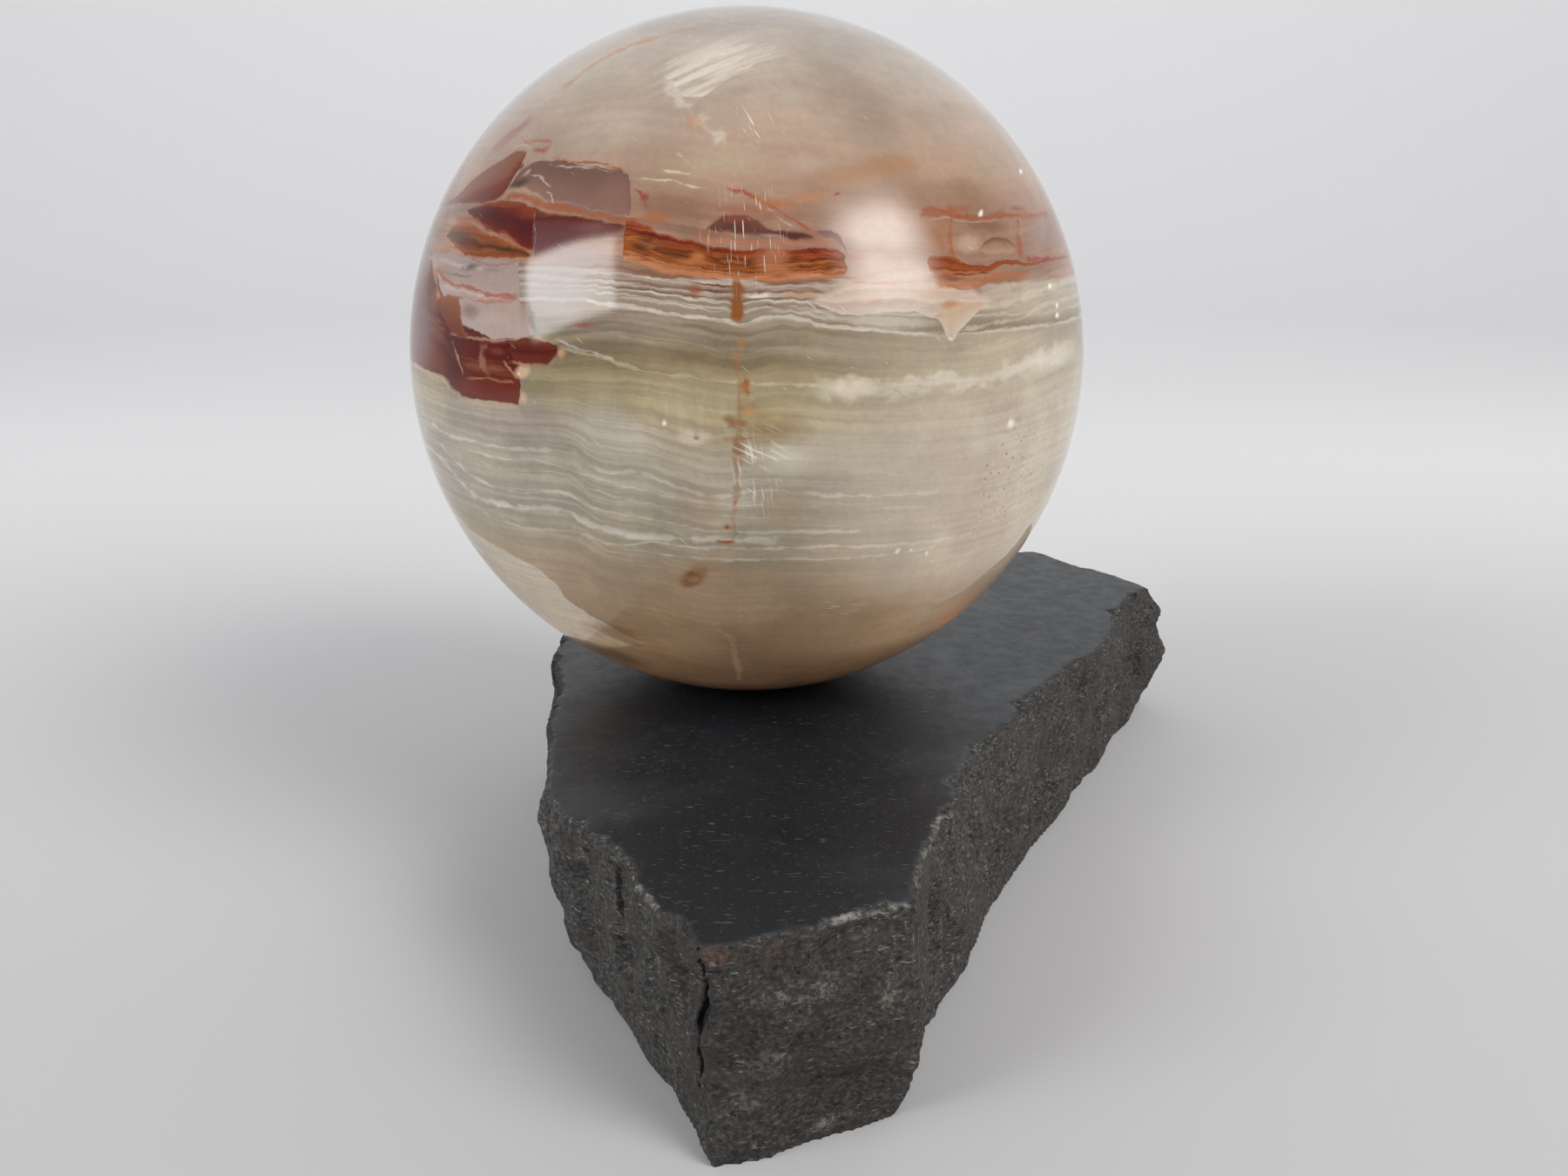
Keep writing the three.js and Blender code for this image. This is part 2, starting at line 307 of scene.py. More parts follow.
class Onyx(Nodes):
    """Paints the ball's beds. Places are in ball radii: x to the right and z up, seen from the front."""

    def __init__(self, tree, groups):
        super().__init__(tree)
        self.groups = groups
        self.colour = None
        self.hairs = 0

    def set_out(self):
        """Where a point lies in the pattern. Behind the ball the beds run on, shifted and rougher."""
        coordinates = self.add("TexCoord").outputs["Object"]
        share = 1 / BALL_RADIUS
        self.place = self.add("Mapping", {
            "Vector": coordinates, "Location": -BALL_CENTRE * share, "Scale": (share, share, share),
        }).outputs[0]
        wander_x = self.noise(self.place, 2.6, 3.0)
        wander_z = self.noise(self.stretch(self.place, (2.4, 2.4, 3.5)), 1.0, 3.0)
        jitter = self.noise(self.place, 26.0, 4.0, 0.6)
        self.cloud = self.noise(self.place, 4.2, 4.0, 0.6)
        self.fine_cloud = self.noise(self.stretch(self.place, (22.0, 8.0, 30.0)), 1.0, 2.0, 0.5)
        self.grain = self.noise(self.place, 60.0, 3.0, 0.6)
        x, y, z = self.parts(self.place)
        back = self.calc("MAXIMUM", y, 0.0)
        back = self.calc("MULTIPLY", back, back)
        sway = self.calc("SUBTRACT", wander_x, 0.5)
        lift = self.calc("SUBTRACT", wander_z, 0.5)
        loose = self.calc("MULTIPLY_ADD", back, 0.8, 0.012)
        x = self.calc("MULTIPLY_ADD", sway, loose, x)
        z = self.calc("MULTIPLY_ADD", lift, self.calc("MULTIPLY", loose, 0.6), z)
        x = self.calc("ADD", x, self.calc("MULTIPLY", back, BACK_SHIFT[0]))
        z = self.calc("ADD", z, self.calc("MULTIPLY", back, BACK_SHIFT[1]))
        fine = self.calc("MULTIPLY", self.calc("SUBTRACT", jitter, 0.5), 0.022)
        self.x = self.calc("ADD", x, fine)
        self.z = self.calc("MULTIPLY_ADD", fine, 0.7, z)
        self.flat = self.add("CombineXYZ", {0: self.x, 1: self.z, 2: 0.0}).outputs[0]
        self.fray = self.calc("SUBTRACT", self.cloud, 0.5)

    def set_out_textures(self):
        """The fine textures that every zone shares."""
        low_swell = self.course(self.x, [
            (-0.9, 0.09), (-0.75, 0.08), (-0.6, 0.075), (-0.45, 0.085), (-0.4, 0.08), (-0.35, 0.05),
            (-0.3, 0.04), (-0.22, 0.035), (-0.15, 0.015), (-0.05, -0.005), (0.05, 0.0), (0.25, -0.015),
            (0.6, -0.03), (0.9, -0.01),
        ])
        high_swell = self.course(self.x, [
            (-0.9, 0.04), (-0.7, 0.02), (-0.5, 0.01), (-0.3, 0.03), (-0.1, 0.01), (0.01, -0.01),
            (0.1, 0.005), (0.3, -0.02), (0.55, -0.03), (0.7, -0.01), (0.9, 0.02),
        ])
        share = self.step(self.z, -0.08, 0.12)
        higher = self.calc("SUBTRACT", high_swell, low_swell)
        swell = self.calc("ADD", low_swell, self.calc("MULTIPLY", share, higher))
        self.height = self.calc("SUBTRACT", self.z, swell)
        self.streak = self.layered_noise((1.6, 1.6, 0.0), 62.0, 3.0, 0.62)
        self.broad = self.layered_noise((0.9, 0.9, 0.0), 17.0, 3.0, 0.55)

    def layered_noise(self, level, upright, detail, roughness):
        """Noise that follows the beds: slow along them, and fast from one to the next."""
        inputs = {
            "Vector": self.stretch(self.place, level), "W": self.calc("MULTIPLY", self.height, upright),
            "Scale": 1.0, "Detail": detail, "Roughness": roughness,
        }
        return self.add("TexNoise", inputs, noise_dimensions="4D").outputs["Fac"]

    def lay(self, mask, tint, blend="MIX"):
        """Covers the colour so far with a tint, as far as the mask says."""
        self.colour = self.mix(mask, self.colour, tint, blend)

    def bed(self, top, bottom, layers, soft=0.006, soft_top=None, strength=1.0, ruffle=0.22,
            handle="AUTO_CLAMPED"):
        """A bed between two courses. Layers are (share of the way up, colour)."""
        high = self.course(self.x, top, handle)
        low = self.course(self.x, bottom, handle)
        out = self.group(self.groups["bed"], {
            "Height": self.z, "Top": high, "Bottom": low, "Bottom Softness": soft,
            "Top Softness": soft if soft_top is None else soft_top, "Strength": strength,
        })
        if len(layers) == 1:
            tint = layers[0][1]
        else:
            ruffled = self.calc("SUBTRACT", self.streak, 0.5)
            share = self.calc("MULTIPLY_ADD", ruffled, ruffle * 2, out["Share"])
            tint = self.ramp(share, layers, "LINEAR")
        self.lay(out["Mask"], tint)
        return out["Mask"]

    def seam(self, course, tint, width, strength=1.0, soft=None, broken=0.0, handle="AUTO_CLAMPED",
             taper=0.0):
        """A thin line along a course of (x, z). broken is how far it is broken up."""
        if broken:
            gaps = self.step(self.fine_cloud, 0.5 + 0.12 * broken, 0.5 - 0.12 * broken, 1.0 - broken, 1.0)
            strength = self.calc("MULTIPLY", gaps, strength)
        self.line(self.x, self.z, course, tint, width, strength, soft, handle, taper)

    def upright(self, course, tint, width, strength=1.0, soft=None, handle="AUTO_CLAMPED"):
        """A thin upright line along a course of (z, x), from its foot to its head."""
        self.line(self.z, self.x, course, tint, width, strength, soft, handle, 0.0)

    def line(self, along, height, course, tint, width, strength, soft, handle, taper):
        """What seam and upright share: a line whose course is a height over its way along."""
        length = course[-1][0] - course[0][0]
        hair = self.hair()
        mask = self.group(self.groups["seam"], {
            "Height": height, "Along": along, "Course": self.course(along, course, handle),
            "Middle": (course[0][0] + course[-1][0]) / 2 + hair, "Reach": length / 2 + hair,
            "Full": length / 2 - (taper or min(0.02, 0.3 * length)), "Width": width * 0.5,
            "Softness": width if soft is None else soft, "Rag": self.fine_cloud, "Strength": strength,
        })["Mask"]
        self.lay(mask, tint)

    def hair(self):
        """A different tiny length each time. Lines with the same ends would otherwise share nodes,
        and the renderer would keep too many values at once."""
        self.hairs += 1
        return self.hairs * 1e-6

    def spot(self, x, z, wide, high, tint, strength=0.6, turn=0.0, core=0.1, fraying=0.5, texture=None):
        """A soft oval stain. texture, if given, is a share that breaks it up."""
        given = {
            "Place": self.flat, "Core": core, "Fray": self.fray, "Fraying": fraying * 2,
            "Strength": strength,
        }
        if turn:
            kind = "turned spot"
            cosine, sine = math.cos(math.radians(turn)), math.sin(math.radians(turn))
            given["Centre"] = (x, z, self.hair())
            given["Along"] = (cosine / wide, sine / wide, 0.0)
            given["Across"] = (-sine / high, cosine / high, 0.0)
        else:
            kind = "spot"
            given["Scale"] = (1 / wide, 1 / high, 0.0)
            given["Shift"] = (-x / wide, -z / high, self.hair())
        mask = self.group(self.groups[kind], given)["Mask"]
        if texture is not None:
            mask = self.calc("MULTIPLY", mask, texture)
        self.lay(mask, tint)
        return mask


def foot_tone(red, green, blue):
    """A tone low on the ball, where its polish mirrors the dark slab."""
    return tone(red, green, blue, veil=FOOT_VEIL)


def ground_colours(onyx):
    """The colour of the stone at each height, before any marking."""
    # Below -0.5 these tones hold painted shade, the slab's shade and its mirrored dark, as well as the
    # stone's colour. The painted light laid over the whole ball lifts them again.
    stops = [
        (-1.0, foot_tone(92, 66, 48)), (-0.80, foot_tone(100, 76, 56)), (-0.70, foot_tone(112, 90, 68)),
        (-0.62, foot_tone(126, 104, 80)), (-0.50, foot_tone(142, 122, 98)),
        (-0.40, foot_tone(146, 128, 106)), (-0.30, foot_tone(154, 144, 124)), (-0.18, tone(166, 156, 140)),
        (-0.08, tone(168, 158, 140)), (0.00, tone(166, 154, 128)), (0.07, tone(156, 142, 112)),
        (0.12, tone(134, 119, 94)), (0.17, tone(140, 126, 105)), (0.21, tone(148, 134, 118)),
        (0.27, tone(154, 126, 108)), (0.36, tone(158, 124, 104)), (0.45, tone(156, 122, 102)),
        (0.54, tone(174, 146, 126)), (0.64, tone(178, 156, 139)), (0.76, tone(181, 166, 152)),
        (0.88, tone(172, 160, 149)), (1.0, tone(160, 152, 143)),
    ]
    lifted = onyx.calc("MULTIPLY_ADD", onyx.calc("SUBTRACT", onyx.broad, 0.5), 0.10, onyx.z)
    share = onyx.calc("MULTIPLY_ADD", lifted, 0.5, 0.5)
    onyx.colour = onyx.ramp(share, [((z + 1) / 2, colour) for z, colour in stops], "LINEAR")
    onyx.spot(0.66, -0.06, 0.62, 0.36, tone(196, 184, 167), 0.8, core=0.2, fraying=0.3)
    onyx.spot(0.62, -0.36, 0.60, 0.26, foot_tone(190, 177, 160), 0.8, core=0.15, fraying=0.3)
    onyx.spot(0.45, -0.60, 0.40, 0.16, foot_tone(156, 133, 110), 0.7, fraying=0.4)
    onyx.spot(0.62, 0.135, 0.55, 0.075, tone(184, 171, 151), 0.85, fraying=0.3)
    onyx.spot(0.24, 0.145, 0.22, 0.045, tone(168, 156, 136), fraying=0.4)
    onyx.spot(-0.62, -0.06, 0.38, 0.11, tone(158, 146, 138), 0.85)
    onyx.spot(-0.62, -0.24, 0.36, 0.12, tone(160, 152, 143), 0.55)
    onyx.spot(-0.06, -0.02, 0.30, 0.12, tone(160, 140, 108), 0.5, core=0.0)
    onyx.spot(0.26, 0.68, 0.34, 0.14, tone(170, 150, 134), 0.55, turn=-10)
    onyx.spot(-0.30, 0.64, 0.24, 0.08, tone(186, 174, 160), 0.5, turn=10)


def bedding_texture(onyx):
    """Fine level streaks, strong in the banded half and faint in the clear top."""
    banded = onyx.course(onyx.z, [(-0.9, 0.06), (-0.5, 0.08), (-0.36, 0.16), (-0.1, 0.19), (0.1, 0.19),
                                  (0.2, 0.32), (0.36, 0.34), (0.50, 0.07), (0.9, 0.04)])
    banded = onyx.calc("MULTIPLY", banded, onyx.step(onyx.x, -0.15, 0.45, 1.0, 0.45))
    onyx.lay(banded, onyx.grey(onyx.step(onyx.streak, 0.36, 0.66, 0.12, 0.88)), "OVERLAY")
    onyx.lay(0.35, onyx.grey(onyx.step(onyx.cloud, 0.3, 0.7, 0.3, 0.7)), "OVERLAY")


def clear_top(onyx):
    """The clear grey and tan stone at the top, with its torn white feather and orange arc."""
    fan = onyx.noise(onyx.stretch(onyx.place, (5.0, 5.0, 70.0), turn=24), 1.0, 3.0, 0.6)
    strands = onyx.step(fan, 0.36, 0.62, 0.25, 1.0)
    onyx.spot(-0.06, 0.79, 0.26, 0.10, CREAM, 0.42, turn=16, core=0.0, texture=strands)
    onyx.bed(
        [(-0.20, 0.765), (-0.17, 0.83), (-0.10, 0.865), (-0.02, 0.885), (0.05, 0.87), (0.16, 0.815)],
        [(-0.20, 0.76), (-0.16, 0.735), (-0.12, 0.705), (-0.09, 0.705), (-0.05, 0.73), (-0.02, 0.75),
         (0.02, 0.765), (0.035, 0.785), (0.08, 0.80), (0.16, 0.81)],
        [(0.0, CREAM)], soft=0.006, soft_top=0.10, strength=onyx.calc("MULTIPLY", strands, 0.85))
    onyx.seam([(-0.19, 0.735), (-0.12, 0.68), (-0.09, 0.65), (-0.02, 0.61)], CREAM, 0.02, 0.45, soft=0.03)
    onyx.seam([(-0.46, 0.75), (-0.38, 0.80), (-0.3, 0.84), (-0.2, 0.87), (-0.1, 0.89)],
              tone(178, 136, 104), 0.007, 0.75, soft=0.010)
    onyx.seam([(-0.05, 0.905), (0.04, 0.90)], tone(170, 124, 92), 0.006, 0.7)
    onyx.spot(-0.10, 0.65, 0.035, 0.022, tone(190, 140, 100), turn=-30)
    onyx.spot(0.36, 0.555, 0.15, 0.035, TAN, 0.9, turn=6, fraying=0.9)
    onyx.spot(0.24, 0.52, 0.10, 0.03, tone(178, 142, 116), 0.7, fraying=0.9)
    onyx.spot(0.53, 0.50, 0.11, 0.05, tone(150, 118, 94), 0.65, turn=-8, fraying=1.0)
    onyx.spot(0.61, 0.55, 0.07, 0.035, tone(158, 152, 120), 0.5)
    onyx.spot(-0.02, 0.56, 0.16, 0.05, tone(182, 168, 144), 0.5)
    onyx.spot(0.12, 0.71, 0.05, 0.035, tone(186, 178, 164), 0.5)
    onyx.spot(-0.38, 0.74, 0.14, 0.07, tone(166, 152, 139), turn=24)
    onyx.spot(0.16, 0.555, 0.08, 0.03, tone(188, 166, 152))


def upper_lines(onyx):
    """Thin white and red lines between the clear top and the rust beds."""
    cream = tone(220, 208, 168)
    onyx.seam([(-0.24, 0.52), (-0.15, 0.516), (-0.10, 0.503), (-0.05, 0.50)], cream, 0.002, 0.6, soft=0.004)
    onyx.seam([(-0.18, 0.543), (-0.14, 0.534), (-0.12, 0.53), (-0.09, 0.54)], cream, 0.003, 0.6, soft=0.004)
    onyx.seam([(-0.15, 0.575), (-0.10, 0.55), (-0.05, 0.52)], cream, 0.002, 0.5, soft=0.004)
    onyx.seam([(-0.46, 0.57), (-0.44, 0.553), (-0.38, 0.55), (-0.28, 0.538)], MILK, 0.002, 0.6, soft=0.004)
    onyx.seam([(-0.55, 0.632), (-0.53, 0.612), (-0.50, 0.615), (-0.445, 0.612)],
              tone(164, 88, 66), 0.008, 0.8, broken=0.6)
    onyx.seam([(-0.51, 0.592), (-0.475, 0.590), (-0.45, 0.602)], tone(146, 62, 42), 0.010, 0.8, broken=0.5)
    onyx.seam([(-0.45, 0.575), (-0.40, 0.56), (-0.36, 0.56), (-0.32, 0.555), (-0.285, 0.545),
               (-0.25, 0.53)], RED_LINE, 0.006, 1.0, broken=0.9)
    onyx.spot(-0.58, 0.632, 0.11, 0.016, tone(154, 110, 98), 0.7, turn=33)


def wedge_and_block(onyx):
    """The red-brown wedge and the grey-brown block at the upper left."""
    onyx.spot(-0.70, 0.50, 0.16, 0.05, tone(160, 132, 122), turn=24)
    onyx.spot(-0.67, 0.482, 0.12, 0.024, tone(136, 92, 80), 0.85, turn=6)
    onyx.bed(
        [(-0.86, 0.455), (-0.80, 0.475), (-0.74, 0.495), (-0.70, 0.525), (-0.65, 0.553), (-0.60, 0.575),
         (-0.54, 0.598), (-0.515, 0.590)],
        [(-0.86, 0.453), (-0.80, 0.460), (-0.74, 0.464), (-0.68, 0.466), (-0.60, 0.474), (-0.575, 0.492),
         (-0.555, 0.520), (-0.535, 0.555), (-0.515, 0.590)],
        [(0.0, tone(110, 52, 40)), (0.30, tone(114, 56, 42)), (0.48, tone(130, 76, 54)),
         (0.8, tone(130, 82, 62)), (1.0, tone(132, 70, 46))], soft=0.008, ruffle=0.35)
    onyx.spot(-0.66, 0.493, 0.08, 0.020, tone(108, 48, 38), turn=14)
    onyx.spot(-0.59, 0.515, 0.03, 0.014, tone(120, 56, 38), 0.7, turn=40)
    onyx.seam([(-0.64, 0.610), (-0.58, 0.640), (-0.52, 0.672)], tone(158, 112, 98), 0.010, 0.7, soft=0.012)
    onyx.seam([(-0.57, 0.600), (-0.54, 0.606), (-0.51, 0.600)], tone(206, 186, 168), 0.005, 0.6)
    onyx.spot(-0.80, 0.45, 0.10, 0.05, tone(150, 128, 120), 0.7)
    onyx.bed(
        [(-0.565, 0.51), (-0.54, 0.54), (-0.51, 0.563), (-0.45, 0.570), (-0.36, 0.553), (-0.25, 0.525),
         (-0.246, 0.43)],
        [(-0.565, 0.508), (-0.5, 0.495), (-0.43, 0.46), (-0.33, 0.44), (-0.25, 0.428), (-0.246, 0.46)],
        [(0.0, tone(144, 110, 98)), (0.4, tone(130, 100, 89)), (0.8, tone(118, 89, 80)),
         (1.0, tone(120, 94, 84))], soft=0.004)
    onyx.spot(-0.29, 0.49, 0.06, 0.05, tone(142, 108, 96))
    onyx.spot(-0.535, 0.515, 0.045, 0.016, tone(80, 60, 50), 0.85, turn=14)
    onyx.spot(-0.535, 0.553, 0.016, 0.008, tone(96, 44, 34), 0.8, turn=50)
    onyx.spot(-0.515, 0.54, 0.022, 0.007, tone(190, 176, 162), 0.7, turn=35)
    onyx.seam([(-0.515, 0.535), (-0.48, 0.528), (-0.44, 0.505)], MILK, 0.002, 0.5, soft=0.004)
    onyx.seam([(-0.46, 0.495), (-0.44, 0.48), (-0.43, 0.46)], MILK, 0.003, 0.6, soft=0.004)
    onyx.seam([(-0.58, 0.477), (-0.55, 0.487), (-0.50, 0.477), (-0.45, 0.462), (-0.40, 0.455),
               (-0.30, 0.434), (-0.22, 0.424)], tone(156, 94, 66), 0.013, 0.85, soft=0.007)
    onyx.seam([(-0.58, 0.488), (-0.55, 0.500), (-0.50, 0.490), (-0.45, 0.475), (-0.40, 0.468),
               (-0.30, 0.445), (-0.22, 0.435)], tone(190, 160, 138), 0.002, 0.5, soft=0.004, broken=0.6)
    onyx.seam([(-0.245, 0.50), (-0.22, 0.482), (-0.20, 0.455)], RED_LINE, 0.005, 0.8, soft=0.006)
    onyx.spot(-0.215, 0.478, 0.014, 0.012, tone(150, 50, 34), 0.8)
    onyx.spot(-0.13, 0.462, 0.13, 0.045, tone(136, 104, 86), 0.75)
    onyx.spot(-0.19, 0.435, 0.06, 0.018, tone(168, 104, 66), 0.7)


def maroon_core(onyx):
    """The darkest bed at the left, maroon and then purple, and the rust lens below it."""
    onyx.spot(-0.73, 0.452, 0.09, 0.022, tone(128, 100, 90), 0.8, turn=8)
    onyx.bed(
        [(-0.71, 0.452), (-0.67, 0.463), (-0.63, 0.472), (-0.56, 0.477), (-0.50, 0.464), (-0.47, 0.452),
         (-0.462, 0.37)],
        [(-0.71, 0.450), (-0.68, 0.436), (-0.62, 0.413), (-0.55, 0.386), (-0.50, 0.362), (-0.47, 0.36),
         (-0.462, 0.38)],
        [(0.0, tone(134, 60, 36)), (0.12, tone(98, 42, 30)), (0.45, tone(84, 32, 24)),
         (0.68, tone(92, 38, 28)), (0.8, tone(122, 56, 38)), (1.0, tone(134, 72, 50))],
        soft=0.005, ruffle=0.3)
    # The purple bed's pale, softly fading lower edge is partly the stone's mauve and partly a painted
    # reflection of the window.
    onyx.bed(
        [(-0.492, 0.40), (-0.485, 0.455), (-0.45, 0.45), (-0.38, 0.442), (-0.30, 0.428), (-0.256, 0.42),
         (-0.252, 0.40)],
        [(-0.492, 0.41), (-0.485, 0.335), (-0.45, 0.342), (-0.40, 0.360), (-0.34, 0.376), (-0.256, 0.392),
         (-0.252, 0.41)],
        [(0.0, tone(122, 90, 90)), (0.35, tone(110, 74, 76)), (0.7, tone(104, 62, 60)),
         (0.9, tone(96, 46, 38)), (1.0, tone(120, 74, 62))], soft=0.032, soft_top=0.008)
    onyx.spot(-0.33, 0.413, 0.08, 0.022, tone(130, 92, 90))
    onyx.seam([(-0.74, 0.432), (-0.68, 0.432), (-0.62, 0.413), (-0.55, 0.386), (-0.495, 0.362)],
              tone(160, 84, 48), 0.010, 0.9, broken=0.4)
    onyx.upright([(0.34, -0.485), (0.40, -0.483), (0.45, -0.487)], CREAM, 0.002, 0.45, soft=0.003)
    onyx.bed(
        [(-0.775, 0.385), (-0.75, 0.412), (-0.70, 0.426), (-0.64, 0.408), (-0.55, 0.380),
         (-0.50, 0.362), (-0.488, 0.35)],
        [(-0.775, 0.384), (-0.73, 0.366), (-0.68, 0.343), (-0.58, 0.340), (-0.50, 0.343),
         (-0.488, 0.350)],
        [(0.0, tone(156, 90, 58)), (0.2, tone(140, 78, 44)), (0.36, tone(98, 56, 30)),
         (0.5, tone(88, 58, 34)), (0.62, tone(122, 70, 42)), (0.8, tone(146, 80, 46)),
         (1.0, tone(160, 94, 62))], soft=0.005, ruffle=0.55)
    onyx.spot(-0.76, 0.355, 0.06, 0.018, tone(168, 112, 82), 0.7, fraying=0.8)
    onyx.spot(-0.62, 0.358, 0.06, 0.010, tone(150, 88, 54), 0.7, fraying=1.2)
    onyx.spot(-0.645, 0.385, 0.05, 0.008, tone(148, 92, 56), 0.7, turn=-14, fraying=1.2)
    onyx.spot(-0.72, 0.39, 0.05, 0.02, tone(96, 70, 52), 0.7)
    onyx.spot(-0.56, 0.365, 0.05, 0.010, tone(70, 50, 30), 0.8, turn=-8)
    onyx.spot(-0.60, 0.408, 0.045, 0.010, tone(96, 40, 24), 0.9, turn=-16)
    onyx.spot(-0.68, 0.378, 0.04, 0.012, tone(106, 58, 36), 0.8, fraying=0.9)


def centre_rust_bed(onyx):
    """The wide rust bed across the middle, in many thin dark and orange layers."""
    onyx.bed(
        [(-0.262, 0.345), (-0.258, 0.43), (-0.20, 0.42), (-0.18, 0.402), (-0.12, 0.390), (-0.06, 0.374),
         (0.0, 0.370), (0.1, 0.368), (0.18, 0.372), (0.235, 0.368), (0.252, 0.352), (0.256, 0.32)],
        [(-0.262, 0.36), (-0.258, 0.346), (-0.2, 0.322), (-0.1, 0.306), (0.0, 0.300), (0.1, 0.298),
         (0.18, 0.302), (0.25, 0.308), (0.256, 0.33)],
        [(0.0, tone(188, 134, 102)), (0.10, tone(182, 120, 84)), (0.17, tone(140, 80, 52)),
         (0.23, tone(178, 116, 80)), (0.32, tone(110, 62, 38)), (0.38, tone(158, 88, 46)),
         (0.46, tone(122, 68, 40)), (0.52, tone(170, 102, 58)), (0.60, tone(100, 56, 34)),
         (0.68, tone(150, 80, 44)), (0.80, tone(104, 46, 30)), (0.90, tone(138, 66, 44)),
         (1.0, tone(164, 94, 68))],
        soft=0.004, ruffle=0.36, handle="VECTOR")
    onyx.spot(-0.22, 0.37, 0.045, 0.014, tone(84, 54, 34), 0.85, turn=-10)
    onyx.spot(-0.14, 0.352, 0.06, 0.010, tone(84, 52, 28), 0.75, turn=-8)
    onyx.spot(-0.09, 0.350, 0.026, 0.014, tone(184, 116, 72), 0.85)
    onyx.spot(-0.20, 0.378, 0.05, 0.012, tone(128, 84, 66), 0.5, fraying=0.9)
    onyx.spot(-0.19, 0.395, 0.06, 0.010, tone(96, 40, 30), 0.8, turn=-10)
    onyx.seam([(-0.06, 0.348), (0.1, 0.345), (0.25, 0.345)], tone(76, 40, 22), 0.003, 0.8, broken=0.6)
    onyx.seam([(-0.05, 0.331), (0.1, 0.329), (0.25, 0.330)], tone(88, 46, 26), 0.003, 0.8, broken=0.6)
    onyx.seam([(0.0, 0.357), (0.12, 0.355), (0.24, 0.357)], tone(172, 84, 50), 0.006, 0.7, broken=0.6)
    onyx.seam([(-0.25, 0.345), (-0.2, 0.325), (-0.1, 0.312), (0.0, 0.306), (0.12, 0.302), (0.25, 0.310)],
              tone(176, 106, 66), 0.006, 0.75, broken=0.6)
    onyx.spot(-0.11, 0.338, 0.05, 0.014, tone(178, 114, 74), 0.7, fraying=1.0)
    onyx.spot(0.09, 0.35, 0.05, 0.035, tone(190, 132, 102), 0.5, fraying=1.2)
    onyx.spot(0.10, 0.325, 0.05, 0.012, tone(188, 126, 90), fraying=1.0)
    onyx.seam([(-0.10, 0.392), (-0.02, 0.383), (0.08, 0.381), (0.18, 0.384), (0.23, 0.376)],
              tone(182, 116, 90), 0.010, 0.8, soft=0.008, broken=0.4)


def mauve_lens(onyx):
    """The mauve lens over the rust bed, and the red line that ends in its tip."""
    onyx.spot(0.02, 0.45, 0.12, 0.022, tone(158, 108, 88), 0.75, turn=-4)
    onyx.spot(-0.06, 0.40, 0.07, 0.016, tone(146, 98, 80), 0.7, turn=8)
    onyx.bed(
        [(-0.08, 0.412), (-0.05, 0.430), (-0.02, 0.446), (0.03, 0.442), (0.10, 0.410), (0.16, 0.404),
         (0.19, 0.388)],
        [(-0.08, 0.410), (-0.05, 0.402), (0.03, 0.394), (0.10, 0.390), (0.15, 0.386), (0.19, 0.386)],
        [(0.0, tone(128, 88, 76)), (0.3, tone(98, 64, 56)), (0.6, tone(106, 70, 62)),
         (1.0, tone(126, 80, 70))], soft=0.008, ruffle=0.4)
    onyx.spot(0.13, 0.397, 0.055, 0.011, tone(84, 54, 50), 0.85, turn=-12)
    onyx.spot(0.0, 0.43, 0.05, 0.012, tone(136, 76, 66))
    onyx.spot(0.08, 0.398, 0.030, 0.006, tone(186, 160, 150), 0.5, turn=-8, fraying=1.5)
    onyx.bed(
        [(0.165, 0.405), (0.20, 0.411), (0.222, 0.406), (0.25, 0.372), (0.262, 0.355)],
        [(0.165, 0.404), (0.20, 0.392), (0.235, 0.376), (0.262, 0.355)],
        [(0.0, tone(138, 94, 86)), (1.0, tone(108, 72, 68))], soft=0.005)
    onyx.seam([(-0.03, 0.500), (0.03, 0.484), (0.08, 0.462), (0.12, 0.437), (0.16, 0.412), (0.19, 0.405)],
              tone(160, 84, 60), 0.004, 0.8, soft=0.006)
    onyx.seam([(0.06, 0.455), (0.10, 0.436), (0.14, 0.412)], tone(206, 186, 172), 0.002, 0.5, soft=0.004)
    onyx.spot(0.09, 0.468, 0.06, 0.016, tone(176, 112, 78), 0.75, turn=-8, fraying=1.0)
    onyx.spot(0.16, 0.478, 0.06, 0.014, tone(184, 132, 96), 0.65, turn=8, fraying=1.0)
    onyx.spot(0.23, 0.487, 0.009, 0.006, tone(150, 60, 44), 0.9, fraying=0.2)
    onyx.seam([(0.25, 0.362), (0.28, 0.352), (0.31, 0.349)], tone(186, 130, 108), 0.008, 0.6)
    onyx.seam([(0.25, 0.296), (0.30, 0.292), (0.38, 0.291)], tone(196, 134, 112), 0.003, 0.6)


